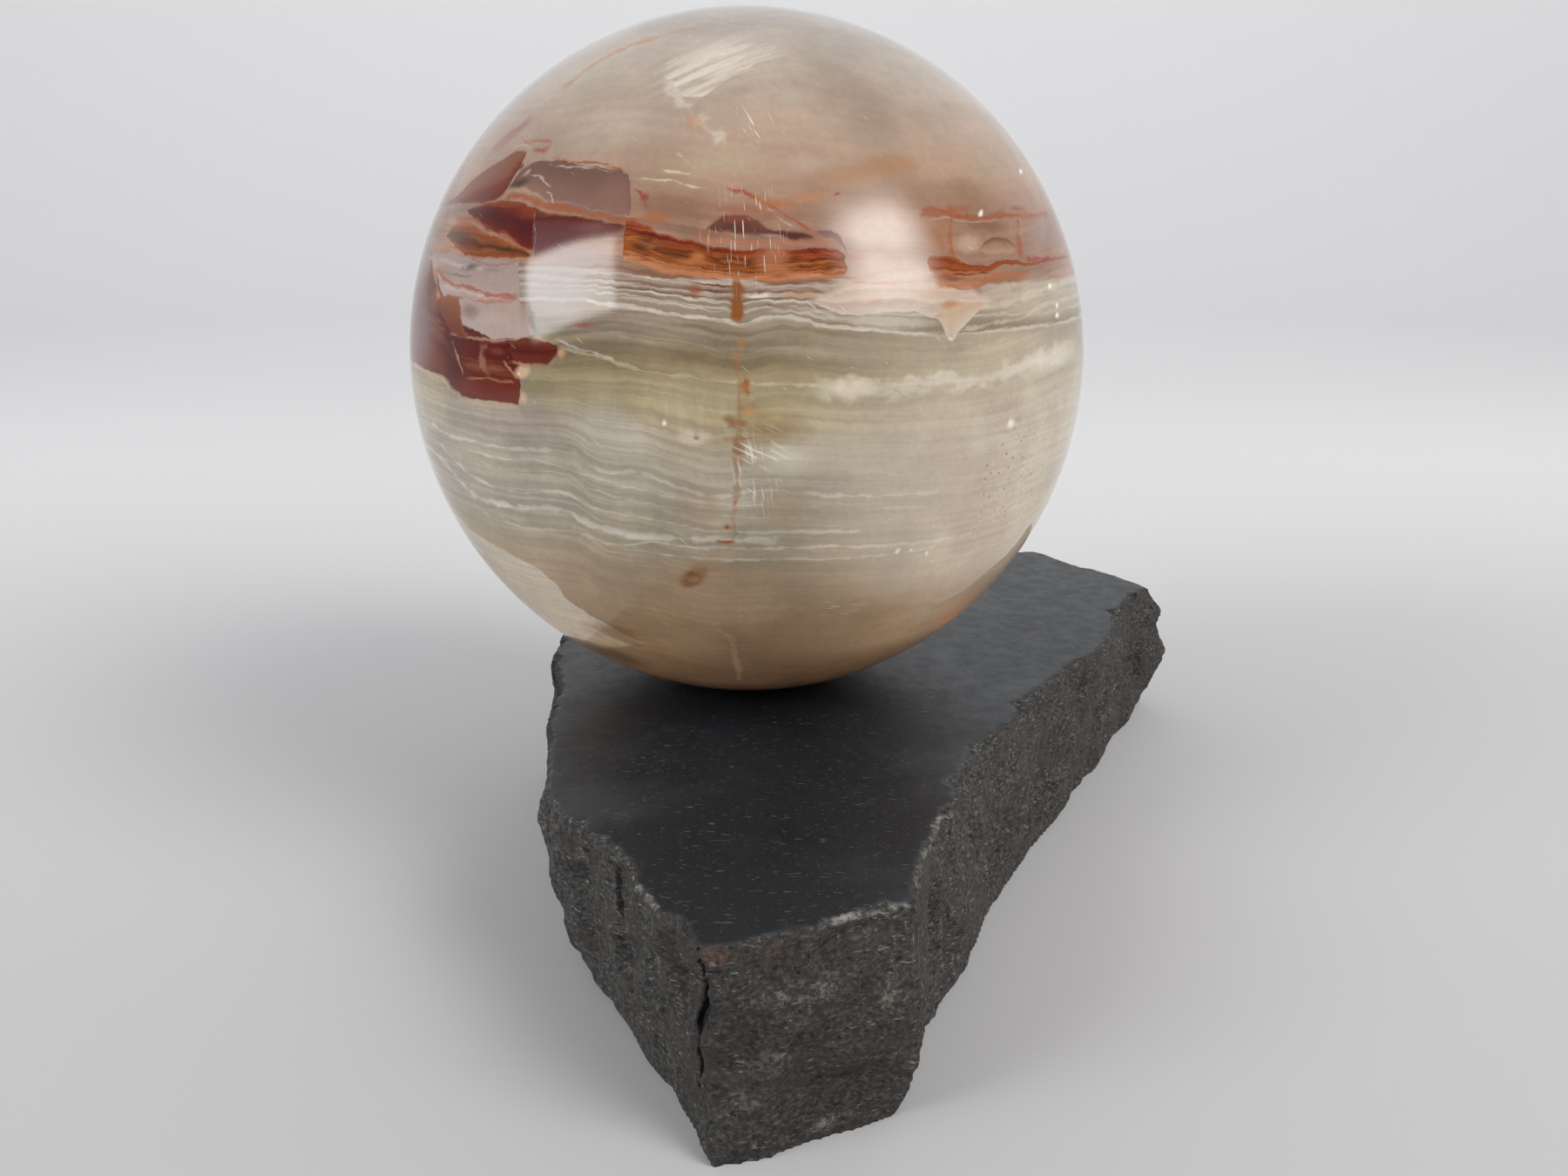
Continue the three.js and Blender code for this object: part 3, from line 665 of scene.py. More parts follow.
def right_rust_bed(onyx):
    """The rust bed at the right, its second orange line, and the red line above it."""
    onyx.spot(0.56, 0.38, 0.14, 0.05, tone(160, 120, 98), 0.5, fraying=0.8)
    onyx.spot(0.47, 0.40, 0.045, 0.07, tone(168, 118, 90), 0.55, fraying=1.5)
    onyx.spot(0.56, 0.292, 0.13, 0.024, tone(172, 116, 82), 0.75, fraying=0.9)
    onyx.spot(0.55, 0.375, 0.05, 0.028, tone(190, 164, 142), 0.75, fraying=0.8)
    onyx.spot(0.60, 0.415, 0.08, 0.014, tone(128, 96, 80), 0.7, fraying=0.9)
    onyx.spot(0.79, 0.395, 0.10, 0.045, tone(152, 130, 122), 0.8)
    onyx.bed(
        [(0.44, 0.335), (0.45, 0.35), (0.49, 0.35), (0.53, 0.336), (0.57, 0.326), (0.60, 0.326),
         (0.64, 0.337), (0.68, 0.337), (0.72, 0.328), (0.80, 0.335), (0.89, 0.335)],
        [(0.44, 0.334), (0.45, 0.312), (0.50, 0.30), (0.54, 0.303), (0.60, 0.303), (0.65, 0.322),
         (0.72, 0.317), (0.80, 0.325), (0.89, 0.329)],
        [(0.0, tone(176, 112, 74)), (0.25, tone(160, 88, 54)), (0.36, tone(112, 58, 36)),
         (0.46, tone(154, 80, 46)), (0.7, tone(146, 74, 42)), (0.82, tone(122, 60, 38)),
         (0.9, tone(150, 82, 50)), (1.0, tone(150, 84, 56))], soft=0.004, ruffle=0.4)
    onyx.spot(0.50, 0.297, 0.05, 0.010, tone(126, 76, 54), 0.8, turn=-6, fraying=1.2)
    onyx.seam([(0.50, 0.308), (0.55, 0.304), (0.61, 0.306)], tone(96, 48, 32), 0.003, 0.8, soft=0.004)
    onyx.seam([(0.46, 0.292), (0.52, 0.276), (0.57, 0.276), (0.60, 0.29), (0.64, 0.30), (0.70, 0.30),
               (0.73, 0.31)], tone(172, 106, 70), 0.014, 0.85, soft=0.008, broken=0.3)
    onyx.seam([(0.42, 0.438), (0.45, 0.45), (0.48, 0.446), (0.55, 0.436), (0.60, 0.431), (0.65, 0.441),
               (0.75, 0.441), (0.82, 0.447)], tone(158, 80, 52), 0.013, 0.9, soft=0.009, broken=0.4)
    onyx.spot(0.52, 0.455, 0.05, 0.012, tone(160, 98, 66), 0.7, fraying=1.1)
    onyx.spot(0.44, 0.42, 0.05, 0.02, tone(176, 134, 112), fraying=1.3)
    onyx.seam([(0.44, 0.428), (0.48, 0.432), (0.56, 0.424), (0.64, 0.428)],
              tone(206, 186, 168), 0.003, 0.5, soft=0.004, broken=0.5)
    onyx.bed(
        [(0.57, 0.36), (0.60, 0.383), (0.63, 0.391), (0.67, 0.382), (0.70, 0.36)],
        [(0.57, 0.358), (0.61, 0.347), (0.66, 0.347), (0.70, 0.357)],
        [(0.0, tone(176, 146, 122)), (0.6, tone(158, 120, 98)), (1.0, tone(104, 66, 52))], soft=0.006)
    onyx.upright([(0.33, 0.507), (0.40, 0.503), (0.46, 0.506)], tone(164, 92, 62), 0.008, 0.75)
    onyx.upright([(0.33, 0.702), (0.40, 0.698), (0.46, 0.701)], tone(160, 88, 60), 0.008, 0.75)
    onyx.spot(0.70, 0.457, 0.04, 0.014, tone(134, 88, 68), 0.8)
    onyx.seam([(0.71, 0.336), (0.80, 0.332), (0.90, 0.333)], tone(150, 62, 48), 0.008, 0.85)
    onyx.spot(0.86, 0.29, 0.07, 0.02, tone(190, 150, 136), 0.7)


def white_beds(onyx):
    """The tight white and brown beds below the rust, and the peach cloud at their right."""
    onyx.bed(
        [(-0.36, 0.335), (-0.3, 0.335), (-0.2, 0.326), (-0.1, 0.315), (0.0, 0.315), (0.1, 0.305),
         (0.25, 0.312), (0.4, 0.33), (0.5, 0.30)],
        [(-0.36, 0.245), (-0.30, 0.236), (-0.2, 0.226), (-0.1, 0.212), (-0.03, 0.206), (0.01, 0.196),
         (0.05, 0.206), (0.10, 0.211), (0.15, 0.206), (0.2, 0.192), (0.3, 0.182), (0.5, 0.165)],
        [(0.0, tone(206, 196, 182)), (0.06, tone(194, 182, 168)), (0.11, tone(142, 128, 110)),
         (0.24, tone(150, 136, 120)), (0.29, tone(190, 178, 164)), (0.34, tone(140, 122, 104)),
         (0.42, tone(152, 136, 120)), (0.47, tone(188, 176, 162)), (0.52, tone(112, 88, 72)),
         (0.57, tone(156, 140, 124)), (0.64, tone(186, 172, 158)), (0.69, tone(118, 90, 74)),
         (0.77, tone(162, 144, 128)), (0.83, tone(182, 166, 152)), (0.90, tone(128, 96, 78)),
         (1.0, tone(168, 122, 98))], soft=0.006, soft_top=0.01, ruffle=0.2)
    onyx.spot(0.78, 0.235, 0.30, 0.065, tone(188, 175, 156), 0.8, core=0.3, fraying=0.3)
    onyx.spot(0.66, 0.264, 0.14, 0.020, tone(188, 172, 154), 0.85, turn=6, core=0.3, fraying=0.4)
    # This pale peach spot is partly the stone's colour and partly a painted highlight under the soft lamp's
    # glow.
    onyx.spot(0.34, 0.41, 0.14, 0.07, tone(192, 170, 156), 0.75, core=0.2)
    onyx.spot(0.38, 0.30, 0.22, 0.06, tone(198, 176, 162), 0.9, turn=-4, fraying=0.7)
    onyx.bed(
        [(0.15, 0.262), (0.20, 0.285), (0.28, 0.31), (0.45, 0.305), (0.55, 0.285), (0.60, 0.262),
         (0.66, 0.238)],
        [(0.15, 0.260), (0.20, 0.236), (0.25, 0.224), (0.30, 0.222), (0.36, 0.225), (0.42, 0.221),
         (0.46, 0.208), (0.52, 0.21), (0.58, 0.222), (0.66, 0.236)],
        [(0.0, tone(206, 190, 176)), (0.2, tone(186, 166, 152)), (0.35, tone(208, 190, 176)),
         (0.55, tone(194, 172, 156)), (0.7, tone(208, 186, 170)), (0.85, tone(188, 164, 148)),
         (1.0, tone(200, 178, 164))],
        soft=0.004, soft_top=0.03, ruffle=0.45)
    onyx.spot(0.35, 0.205, 0.15, 0.020, tone(192, 182, 166), 0.9, turn=-4, core=0.4, fraying=0.3)
    onyx.spot(0.44, 0.262, 0.08, 0.022, tone(196, 164, 140), fraying=1.0)
    onyx.spot(0.33, 0.335, 0.06, 0.03, tone(194, 158, 146), 0.5, fraying=1.1)
    onyx.spot(0.15, 0.268, 0.08, 0.012, tone(190, 140, 104))
    onyx.spot(0.32, 0.25, 0.03, 0.010, tone(196, 140, 108))
    onyx.spot(-0.095, 0.278, 0.025, 0.022, tone(148, 86, 64), 0.75)
    for x, z, tint in [(-0.055, 0.290, RED_BROWN), (-0.05, 0.275, RED_BROWN), (-0.20, 0.287, GREY_BROWN),
                       (0.10, 0.243, GREY_BROWN), (0.13, 0.236, GREY_BROWN), (-0.20, 0.262, GREY_BROWN)]:
        onyx.spot(x, z, 0.055, 0.004, tint, 0.8, turn=-5, core=0.3, fraying=0.3)
    onyx.spot(0.052, 0.265, 0.036, 0.006, CREAM, 0.85, turn=3, core=0.4, fraying=0.3)
    white = tone(214, 204, 192)
    onyx.seam([(-0.36, 0.25), (-0.30, 0.245), (-0.2, 0.235), (-0.1, 0.22), (-0.03, 0.215), (0.01, 0.205),
               (0.05, 0.215), (0.10, 0.22), (0.15, 0.215), (0.2, 0.20), (0.3, 0.19), (0.45, 0.175)],
              white, 0.005, 0.6, soft=0.004)
    onyx.seam([(-0.25, 0.275), (-0.1, 0.26), (0.0, 0.25), (0.05, 0.255), (0.15, 0.255), (0.2, 0.228)],
              white, 0.003, 0.6, soft=0.003, broken=0.3)
    onyx.seam([(-0.25, 0.305), (-0.1, 0.298), (0.0, 0.290)], white, 0.003, 0.6, soft=0.003, broken=0.3)
    onyx.seam([(-0.28, 0.257), (-0.15, 0.247), (-0.02, 0.232), (0.06, 0.24), (0.15, 0.235), (0.22, 0.21)],
              tone(196, 184, 168), 0.003, 0.5, soft=0.003, broken=0.4)
    onyx.seam([(0.53, 0.18), (0.62, 0.19), (0.7, 0.195), (0.75, 0.215), (0.85, 0.225), (0.95, 0.23)],
              tone(206, 196, 180), 0.007, 0.5)
    onyx.seam([(0.58, 0.228), (0.66, 0.235), (0.78, 0.26), (0.95, 0.275)], tone(206, 196, 180), 0.012, 0.6)
    onyx.seam([(0.66, 0.262), (0.76, 0.285), (0.90, 0.30)], tone(160, 146, 128), 0.005, 0.5, soft=0.01)
    # These two pale grey spots are partly the stone's pale beds and partly a painted reflection of the
    # window, which washes out the lines here.
    onyx.spot(-0.43, 0.28, 0.13, 0.08, tone(168, 157, 153), 0.72, core=0.4, fraying=0.3)
    onyx.spot(-0.37, 0.35, 0.13, 0.035, tone(160, 140, 137), 0.7, core=0.2)
    onyx.bed(
        [(0.452, 0.215), (0.50, 0.238), (0.56, 0.245), (0.605, 0.238)],
        [(0.452, 0.213), (0.49, 0.175), (0.507, 0.152), (0.52, 0.168), (0.55, 0.195), (0.58, 0.22),
         (0.605, 0.236)],
        [(0.0, tone(204, 188, 172)), (0.6, tone(194, 168, 144)), (1.0, tone(196, 170, 146))], soft=0.004)
    onyx.spot(0.50, 0.238, 0.034, 0.014, tone(184, 128, 86), 0.8)


def left_white_block(onyx):
    """The pale block at the left, with its red lines, grey crack and orange-brown rim."""
    onyx.bed(
        [(-0.85, 0.335), (-0.80, 0.35), (-0.73, 0.352), (-0.66, 0.342), (-0.58, 0.342), (-0.524, 0.336),
         (-0.519, 0.24), (-0.505, 0.225), (-0.498, 0.195), (-0.482, 0.168)],
        [(-0.85, 0.33), (-0.82, 0.325), (-0.79, 0.285), (-0.778, 0.255), (-0.75, 0.235), (-0.715, 0.185),
         (-0.66, 0.168), (-0.60, 0.150), (-0.52, 0.158), (-0.482, 0.166)],
        [(0.0, tone(182, 164, 155)), (0.5, tone(178, 154, 145)), (1.0, tone(162, 144, 138))],
        soft=0.006, handle="VECTOR", strength=onyx.step(onyx.x, -0.93, -0.78))
    onyx.spot(-0.60, 0.20, 0.10, 0.03, tone(192, 174, 165), 0.5, fraying=0.9)
    onyx.spot(-0.67, 0.215, 0.05, 0.03, tone(136, 112, 106), 0.8, fraying=0.8)
    onyx.seam([(-0.80, 0.315), (-0.76, 0.302), (-0.70, 0.298), (-0.66, 0.296)],
              tone(96, 78, 72), 0.005, 0.7, broken=0.6)
    onyx.seam([(-0.79, 0.330), (-0.72, 0.322), (-0.62, 0.318)], tone(206, 190, 178), 0.006, 0.6, broken=0.4)
    onyx.seam([(-0.78, 0.270), (-0.71, 0.262), (-0.62, 0.254), (-0.53, 0.248)],
              tone(214, 196, 184), 0.006, 0.6, broken=0.3)
    onyx.seam([(-0.68, 0.338), (-0.60, 0.326), (-0.53, 0.332)], tone(168, 84, 62), 0.004, 0.7, broken=0.5)
    onyx.spot(-0.76, 0.30, 0.05, 0.04, tone(156, 132, 120))
    onyx.spot(-0.67, 0.318, 0.055, 0.016, tone(100, 84, 80), 0.9, turn=14, fraying=1.2)
    onyx.spot(-0.60, 0.315, 0.05, 0.012, tone(128, 108, 100), 0.5, fraying=1.1)
    onyx.spot(-0.72, 0.243, 0.05, 0.008, tone(104, 84, 76), 0.7, fraying=1.2)
    onyx.seam([(-0.81, 0.305), (-0.74, 0.28), (-0.64, 0.265), (-0.60, 0.255), (-0.52, 0.255)],
              tone(160, 84, 64), 0.007, 0.9, broken=0.2)
    onyx.seam([(-0.70, 0.25), (-0.63, 0.24), (-0.53, 0.245)], tone(166, 96, 74), 0.005, 0.75, broken=0.4)
    onyx.upright([(0.165, -0.47), (0.18, -0.48), (0.22, -0.49), (0.25, -0.50)],
                 tone(104, 98, 96), 0.008, 0.85)
    onyx.bed(
        [(-0.80, 0.225), (-0.775, 0.243), (-0.72, 0.249), (-0.70, 0.222), (-0.695, 0.187), (-0.672, 0.162)],
        [(-0.80, 0.224), (-0.765, 0.19), (-0.72, 0.152), (-0.68, 0.145), (-0.672, 0.165)],
        [(0.0, tone(116, 60, 42)), (0.5, tone(126, 72, 50)), (1.0, tone(152, 98, 70))], soft=0.006)


def dark_red_patch(onyx):
    """The dark red patch at the left, broken by pale veins, and mauve towards the left limb."""
    onyx.bed(
        [(-0.98, 0.41), (-0.90, 0.40), (-0.84, 0.37), (-0.80, 0.32), (-0.765, 0.26), (-0.73, 0.21),
         (-0.65, 0.185), (-0.54, 0.172), (-0.534, 0.165), (-0.529, 0.02)],
        [(-0.98, 0.06), (-0.88, 0.052), (-0.76, 0.042), (-0.74, 0.02), (-0.70, 0.0), (-0.60, 0.002),
         (-0.534, 0.0), (-0.529, 0.03)],
        [(0.0, tone(108, 48, 38)), (0.25, tone(116, 56, 44)), (0.34, tone(98, 44, 36)),
         (0.46, tone(126, 70, 54)), (0.56, tone(98, 42, 34)), (0.8, tone(94, 38, 32)),
         (1.0, tone(104, 60, 56))],
        soft=0.005, handle="VECTOR", ruffle=0.35)
    onyx.spot(-0.73, 0.09, 0.055, 0.10, tone(82, 36, 32), 0.8, core=0.2)
    onyx.bed(
        [(-0.56, 0.13), (-0.545, 0.152), (-0.50, 0.163), (-0.46, 0.158), (-0.43, 0.148), (-0.420, 0.13)],
        [(-0.56, 0.132), (-0.545, 0.105), (-0.50, 0.10), (-0.455, 0.10), (-0.438, 0.113), (-0.420, 0.128)],
        [(0.0, tone(120, 60, 48)), (0.5, tone(92, 42, 36)), (1.0, tone(120, 64, 50))], soft=0.005)
    onyx.spot(-0.62, 0.085, 0.07, 0.02, tone(130, 84, 64), 0.7, fraying=1.1)
    onyx.spot(-0.59, 0.125, 0.04, 0.016, tone(126, 76, 60), 0.7, fraying=0.8)
    onyx.spot(-0.88, 0.16, 0.11, 0.16, tone(128, 98, 94), 0.9, core=0.3, fraying=0.2)
    onyx.spot(-0.79, 0.24, 0.035, 0.05, tone(146, 96, 74), 0.7, turn=-20)
    onyx.spot(-0.88, 0.35, 0.10, 0.12, tone(156, 138, 127), 0.8, core=0.2, fraying=0.3)
    onyx.upright([(0.19, -0.755), (0.25, -0.785), (0.33, -0.81)], tone(190, 142, 112), 0.010, 0.7)
    onyx.upright([(0.055, -0.622), (0.10, -0.636), (0.145, -0.628)], tone(164, 118, 96), 0.014, 0.7)
    onyx.spot(-0.60, 0.083, 0.06, 0.016, tone(148, 88, 66), 0.7, fraying=1.2)
    onyx.spot(-0.62, 0.028, 0.09, 0.020, tone(106, 46, 34), core=0.3, fraying=0.6)
    onyx.spot(-0.60, 0.148, 0.07, 0.010, tone(134, 86, 76), fraying=0.6)
    onyx.spot(-0.415, 0.132, 0.014, 0.016, tone(204, 158, 126), 0.8, fraying=0.6)
    onyx.spot(-0.518, 0.022, 0.014, 0.018, tone(212, 176, 148), 0.8, fraying=0.6)
    onyx.spot(-0.522, 0.082, 0.030, 0.020, tone(210, 176, 150), 0.95, turn=24, core=0.3)
    onyx.spot(-0.515, 0.058, 0.020, 0.006, tone(140, 132, 126), 0.8, fraying=0.4)
    vein = tone(186, 140, 112)
    onyx.upright([(0.05, -0.70), (0.09, -0.712), (0.14, -0.73)], vein, 0.003, 0.75)
    onyx.upright([(0.062, -0.54), (0.085, -0.557), (0.108, -0.572)], vein, 0.004, 0.7)
    onyx.seam([(-0.69, 0.05), (-0.62, 0.057), (-0.54, 0.053)], vein, 0.004, 0.75, broken=0.5)
    onyx.seam([(-0.74, 0.155), (-0.65, 0.15), (-0.54, 0.156), (-0.50, 0.168), (-0.43, 0.153)],
              tone(198, 158, 134), 0.004, 0.7, broken=0.3)
    onyx.seam([(-0.70, -0.004), (-0.60, -0.002), (-0.53, -0.004)], tone(196, 160, 136), 0.004, 0.7)
    onyx.seam([(-0.92, 0.05), (-0.82, 0.042), (-0.77, 0.034), (-0.74, 0.012), (-0.69, -0.006)],
              tone(196, 168, 156), 0.006, 0.7)
    onyx.seam([(-0.56, 0.103), (-0.50, 0.096), (-0.45, 0.096), (-0.42, 0.122)], vein, 0.004, 0.6)
    onyx.spot(-0.355, 0.197, 0.05, 0.008, tone(150, 80, 66), 0.75)


def olive_beds(onyx):
    """The olive beds under the white ones, their thin pale lines, and the soft flames below them."""
    onyx.seam([(-0.44, 0.16), (-0.36, 0.14), (-0.28, 0.122)], MILK, 0.003, 0.55, soft=0.004)
    onyx.seam([(-0.42, 0.145), (-0.40, 0.14), (-0.3, 0.12), (-0.25, 0.105), (-0.15, 0.09), (-0.05, 0.08),
               (0.1, 0.07), (0.2, 0.068)], tone(186, 178, 146), 0.005, 0.7)
    onyx.seam([(-0.40, 0.19), (-0.2, 0.165), (0.0, 0.15), (0.2, 0.155)], tone(160, 150, 126), 0.006, 0.45)
    onyx.seam([(0.05, 0.175), (0.3, 0.155), (0.5, 0.135), (0.7, 0.16), (0.9, 0.18)],
              tone(158, 148, 126), 0.008, 0.4)
    flames = onyx.noise(onyx.stretch(onyx.place, (26.0, 6.0, 5.0)), 1.0, 3.0, 0.6)
    flames = onyx.step(flames, 0.42, 0.66)
    onyx.spot(-0.08, 0.03, 0.46, 0.075, tone(180, 168, 132), 0.55, turn=-5)
    onyx.spot(-0.10, 0.0, 0.40, 0.10, tone(190, 178, 152), 0.42, core=0.2, texture=flames, turn=-6)
    onyx.spot(-0.12, 0.135, 0.13, 0.03, tone(126, 110, 86))
    onyx.spot(-0.18, 0.195, 0.14, 0.02, tone(130, 120, 104))
    onyx.spot(0.05, 0.0, 0.10, 0.07, tone(148, 126, 92), 0.5)
    onyx.seam([(0.12, 0.062), (0.30, 0.052), (0.4, 0.062), (0.6, 0.060), (0.7, 0.080), (0.95, 0.092)],
              tone(214, 206, 190), 0.03, 0.7, soft=0.03, taper=0.16)
    onyx.spot(0.80, 0.085, 0.16, 0.045, tone(222, 214, 200), turn=8)
    onyx.spot(0.09, -0.035, 0.12, 0.06, tone(144, 122, 88), 0.8, fraying=0.8)
    onyx.spot(0.25, 0.06, 0.08, 0.035, tone(222, 210, 192), 0.7, fraying=0.9)
    onyx.spot(-0.28, -0.05, 0.16, 0.07, tone(196, 190, 176), fraying=1.1, turn=-8)
    onyx.spot(-0.10, -0.05, 0.06, 0.03, CREAM, 0.5, fraying=1.0)
    onyx.spot(-0.095, -0.052, 0.012, 0.010, tone(128, 98, 70), 0.7)
    onyx.spot(0.12, -0.10, 0.10, 0.05, tone(206, 200, 186), 0.5, fraying=1.0)


def wavy_lines(onyx):
    """The fine wavy white lines across the lower half."""
    white = tone(200, 194, 184)
    courses = [
        ([(-0.9, -0.08), (-0.85, -0.09), (-0.75, -0.11), (-0.6, -0.11), (-0.45, -0.10), (-0.4, -0.105),
          (-0.35, -0.13), (-0.3, -0.145), (-0.25, -0.14), (-0.15, -0.17), (-0.05, -0.195), (0.05, -0.18),
          (0.25, -0.20), (0.5, -0.21)], 0.007, 0.8),
        ([(-0.9, -0.12), (-0.8, -0.15), (-0.75, -0.185), (-0.7, -0.21), (-0.55, -0.225), (-0.45, -0.205),
          (-0.35, -0.24), (-0.3, -0.25), (-0.2, -0.26), (-0.1, -0.28), (0.15, -0.29), (0.3, -0.295)],
         0.006, 0.7),
        ([(-0.9, -0.17), (-0.8, -0.2), (-0.75, -0.24), (-0.7, -0.265), (-0.6, -0.27), (-0.45, -0.255),
          (-0.35, -0.29), (-0.25, -0.305), (-0.1, -0.305), (0.1, -0.31)], 0.012, 0.85),
        ([(-0.42, -0.30), (-0.4, -0.31), (-0.3, -0.335), (-0.2, -0.32), (-0.1, -0.33), (0.1, -0.33),
          (0.4, -0.345), (0.6, -0.35)], 0.005, 0.65),
        ([(-0.3, -0.345), (-0.1, -0.36), (0.1, -0.362), (0.3, -0.37), (0.5, -0.37)], 0.005, 0.55),
        ([(-0.7, -0.135), (-0.6, -0.14), (-0.5, -0.13), (-0.38, -0.15), (-0.3, -0.17), (-0.15, -0.20),
          (0.0, -0.215), (0.2, -0.225)], 0.004, 0.5),
        ([(-0.72, -0.16), (-0.6, -0.168), (-0.45, -0.155), (-0.35, -0.19), (-0.2, -0.22), (0.0, -0.245),
          (0.2, -0.25)], 0.004, 0.5),
        ([(-0.7, -0.31), (-0.55, -0.325), (-0.42, -0.31), (-0.3, -0.36)], 0.005, 0.45),
        ([(0.3, -0.24), (0.5, -0.25), (0.7, -0.24), (0.9, -0.2)], 0.006, 0.4),
        ([(0.25, -0.14), (0.45, -0.16), (0.65, -0.15), (0.9, -0.11)], 0.006, 0.35),
    ]
    for course, width, strength in courses:
        onyx.seam(course, white, width * 0.7, strength * 0.75, soft=width)
    onyx.spot(-0.08, -0.22, 0.09, 0.12, tone(150, 126, 100), 0.4, fraying=0.8)
    onyx.spot(-0.03, -0.275, 0.012, 0.010, tone(150, 72, 50), 0.9)
    onyx.seam([(-0.065, -0.313), (-0.005, -0.312)], tone(156, 78, 56), 0.006, 0.9)
    onyx.spot(-0.01, -0.21, 0.010, 0.012, tone(156, 88, 60), 0.8)


def upright_cracks(onyx):
    """The stained upright crack down the front, from the white beds to the rust spot."""
    stain = tone(162, 98, 60)
    onyx.spot(0.003, 0.255, 0.028, 0.055, tone(136, 90, 58), 0.85)
    onyx.upright([(0.205, 0.0), (0.26, 0.003), (0.31, 0.0)], tone(140, 84, 50), 0.020, 0.95, soft=0.010)
    onyx.spot(0.004, 0.228, 0.018, 0.026, tone(148, 88, 48), 0.9)
    onyx.spot(0.01, 0.16, 0.016, 0.018, tone(176, 126, 82), 0.7)
    onyx.spot(0.0, 0.135, 0.018, 0.014, tone(172, 124, 80))
    onyx.spot(0.0, -0.08, 0.020, 0.05, tone(138, 104, 70), 0.85, fraying=0.8)
    onyx.spot(-0.02, -0.01, 0.026, 0.018, tone(134, 102, 70), 0.85, fraying=0.8)
    onyx.spot(0.02, 0.07, 0.018, 0.04, tone(156, 116, 80), fraying=0.9)
    onyx.spot(0.10, -0.22, 0.09, 0.07, tone(152, 130, 102), 0.5, fraying=0.7)
    onyx.upright([(0.035, 0.027), (0.065, 0.022), (0.10, 0.016)], stain, 0.010, 0.8)
    onyx.spot(0.025, 0.01, 0.022, 0.022, tone(178, 128, 80), 0.75, fraying=1.0)
    onyx.seam([(-0.035, -0.022), (0.03, -0.018)], tone(146, 108, 76), 0.010, 0.85)
    onyx.seam([(-0.045, -0.055), (0.045, -0.052)], tone(150, 104, 68), 0.007, 0.8, broken=0.4)
    onyx.upright([(-0.32, -0.015), (-0.2, -0.008), (-0.05, 0.003), (0.2, 0.006)],
                 tone(146, 110, 78), 0.007, 0.6, soft=0.013)


def lower_stone(onyx):
    """The plain lower stone: rust spot, cream patch, and the darker block at the right."""
    onyx.spot(-0.12, -0.42, 0.060, 0.034, foot_tone(96, 56, 28), 1.0, turn=42, core=0.3, fraying=0.8)
    onyx.spot(-0.12, -0.41, 0.12, 0.07, foot_tone(160, 130, 98), 0.4, turn=20)
    onyx.bed(
        [(-0.86, -0.36), (-0.73, -0.398), (-0.65, -0.413), (-0.55, -0.443), (-0.50, -0.478),
         (-0.47, -0.53), (-0.42, -0.57), (-0.37, -0.60), (-0.25, -0.655)],
        [(-0.86, -0.52), (-0.6, -0.72), (-0.45, -0.76), (-0.4, -0.725), (-0.34, -0.70), (-0.25, -0.66)],
        [(0.0, foot_tone(126, 104, 80)), (0.4, foot_tone(146, 132, 112)), (1.0, foot_tone(172, 162, 147))],
        soft=0.006, strength=0.85)
    onyx.spot(-0.40, -0.64, 0.08, 0.05, foot_tone(136, 116, 92), fraying=0.6)
    onyx.spot(-0.30, -0.645, 0.13, 0.04, foot_tone(112, 82, 56), 0.7, turn=-14, fraying=0.9)
    # Painted reflection: a dark brown spot below the cream patch, where the ball mirrors the dark slab.
    onyx.spot(-0.40, -0.75, 0.18, 0.06, foot_tone(74, 58, 44), 0.85, turn=-14, core=0.2, fraying=0.4)
    onyx.spot(-0.22, -0.52, 0.18, 0.08, foot_tone(150, 128, 100), 0.45)
    onyx.upright([(-0.82, -0.02), (-0.61, -0.03), (-0.575, -0.07), (-0.55, -0.05), (-0.50, 0.0)],
                 foot_tone(160, 134, 104), 0.008, 0.3, soft=0.014)
    onyx.spot(0.28, -0.62, 0.34, 0.13, foot_tone(128, 104, 80), 0.4, core=0.3)
    onyx.spot(0.62, -0.66, 0.12, 0.10, foot_tone(176, 124, 84))
    onyx.spot(0.50, -0.58, 0.16, 0.08, foot_tone(168, 145, 122))


def marks(onyx):
    """Dark specks, white dots and scratches in the polish. Returns the mask of the scratches."""
    pepper = onyx.add("TexVoronoi", {"Vector": onyx.place, "Scale": 46.0, "Randomness": 1.0})
    dots = onyx.step(pepper.outputs["Distance"], 0.20, 0.10)
    onyx.spot(0.72, -0.20, 0.16, 0.20, tone(84, 70, 54), 0.65, core=0.3, texture=dots)
    for x, z, size in [
        (0.39, -0.365, 0.008), (0.43, -0.365, 0.007), (0.47, -0.385, 0.008), (0.73, 0.55, 0.008),
        (0.59, 0.445, 0.008), (0.795, 0.265, 0.008), (0.82, 0.215, 0.008), (0.82, 0.19, 0.009),
        (0.68, -0.06, 0.014), (-0.17, -0.02, 0.008),
    ]:
        onyx.spot(x, z, size, size * 1.3, tone(236, 232, 222), 0.85, fraying=0.2)
    total = None
    for turn, x, z, wide, high, share in [
        (-82, 0.04, -0.14, 0.07, 0.13, 0.62), (-30, 0.06, -0.08, 0.10, 0.08, 0.55),
        (-86, 0.02, 0.40, 0.12, 0.16, 0.42), (-58, 0.05, 0.64, 0.10, 0.07, 0.5),
        (-8, 0.25, -0.52, 0.10, 0.05, 0.55), (-40, 0.1, -0.1, 1.2, 1.2, 0.05),
    ]:
        turned = onyx.stretch(onyx.place, (1.0, 1.0, 1.0), turn=turn)
        strokes = onyx.group(onyx.groups["scratches"], {
            "Place": turned, "Length": 0.06, "Width": 0.0045, "Share": share})["Mask"]
        strokes = onyx.spot(x, z, wide, high, tone(232, 228, 218), 0.6, texture=strokes)
        total = strokes if total is None else onyx.calc("MAXIMUM", total, strokes)
    return total


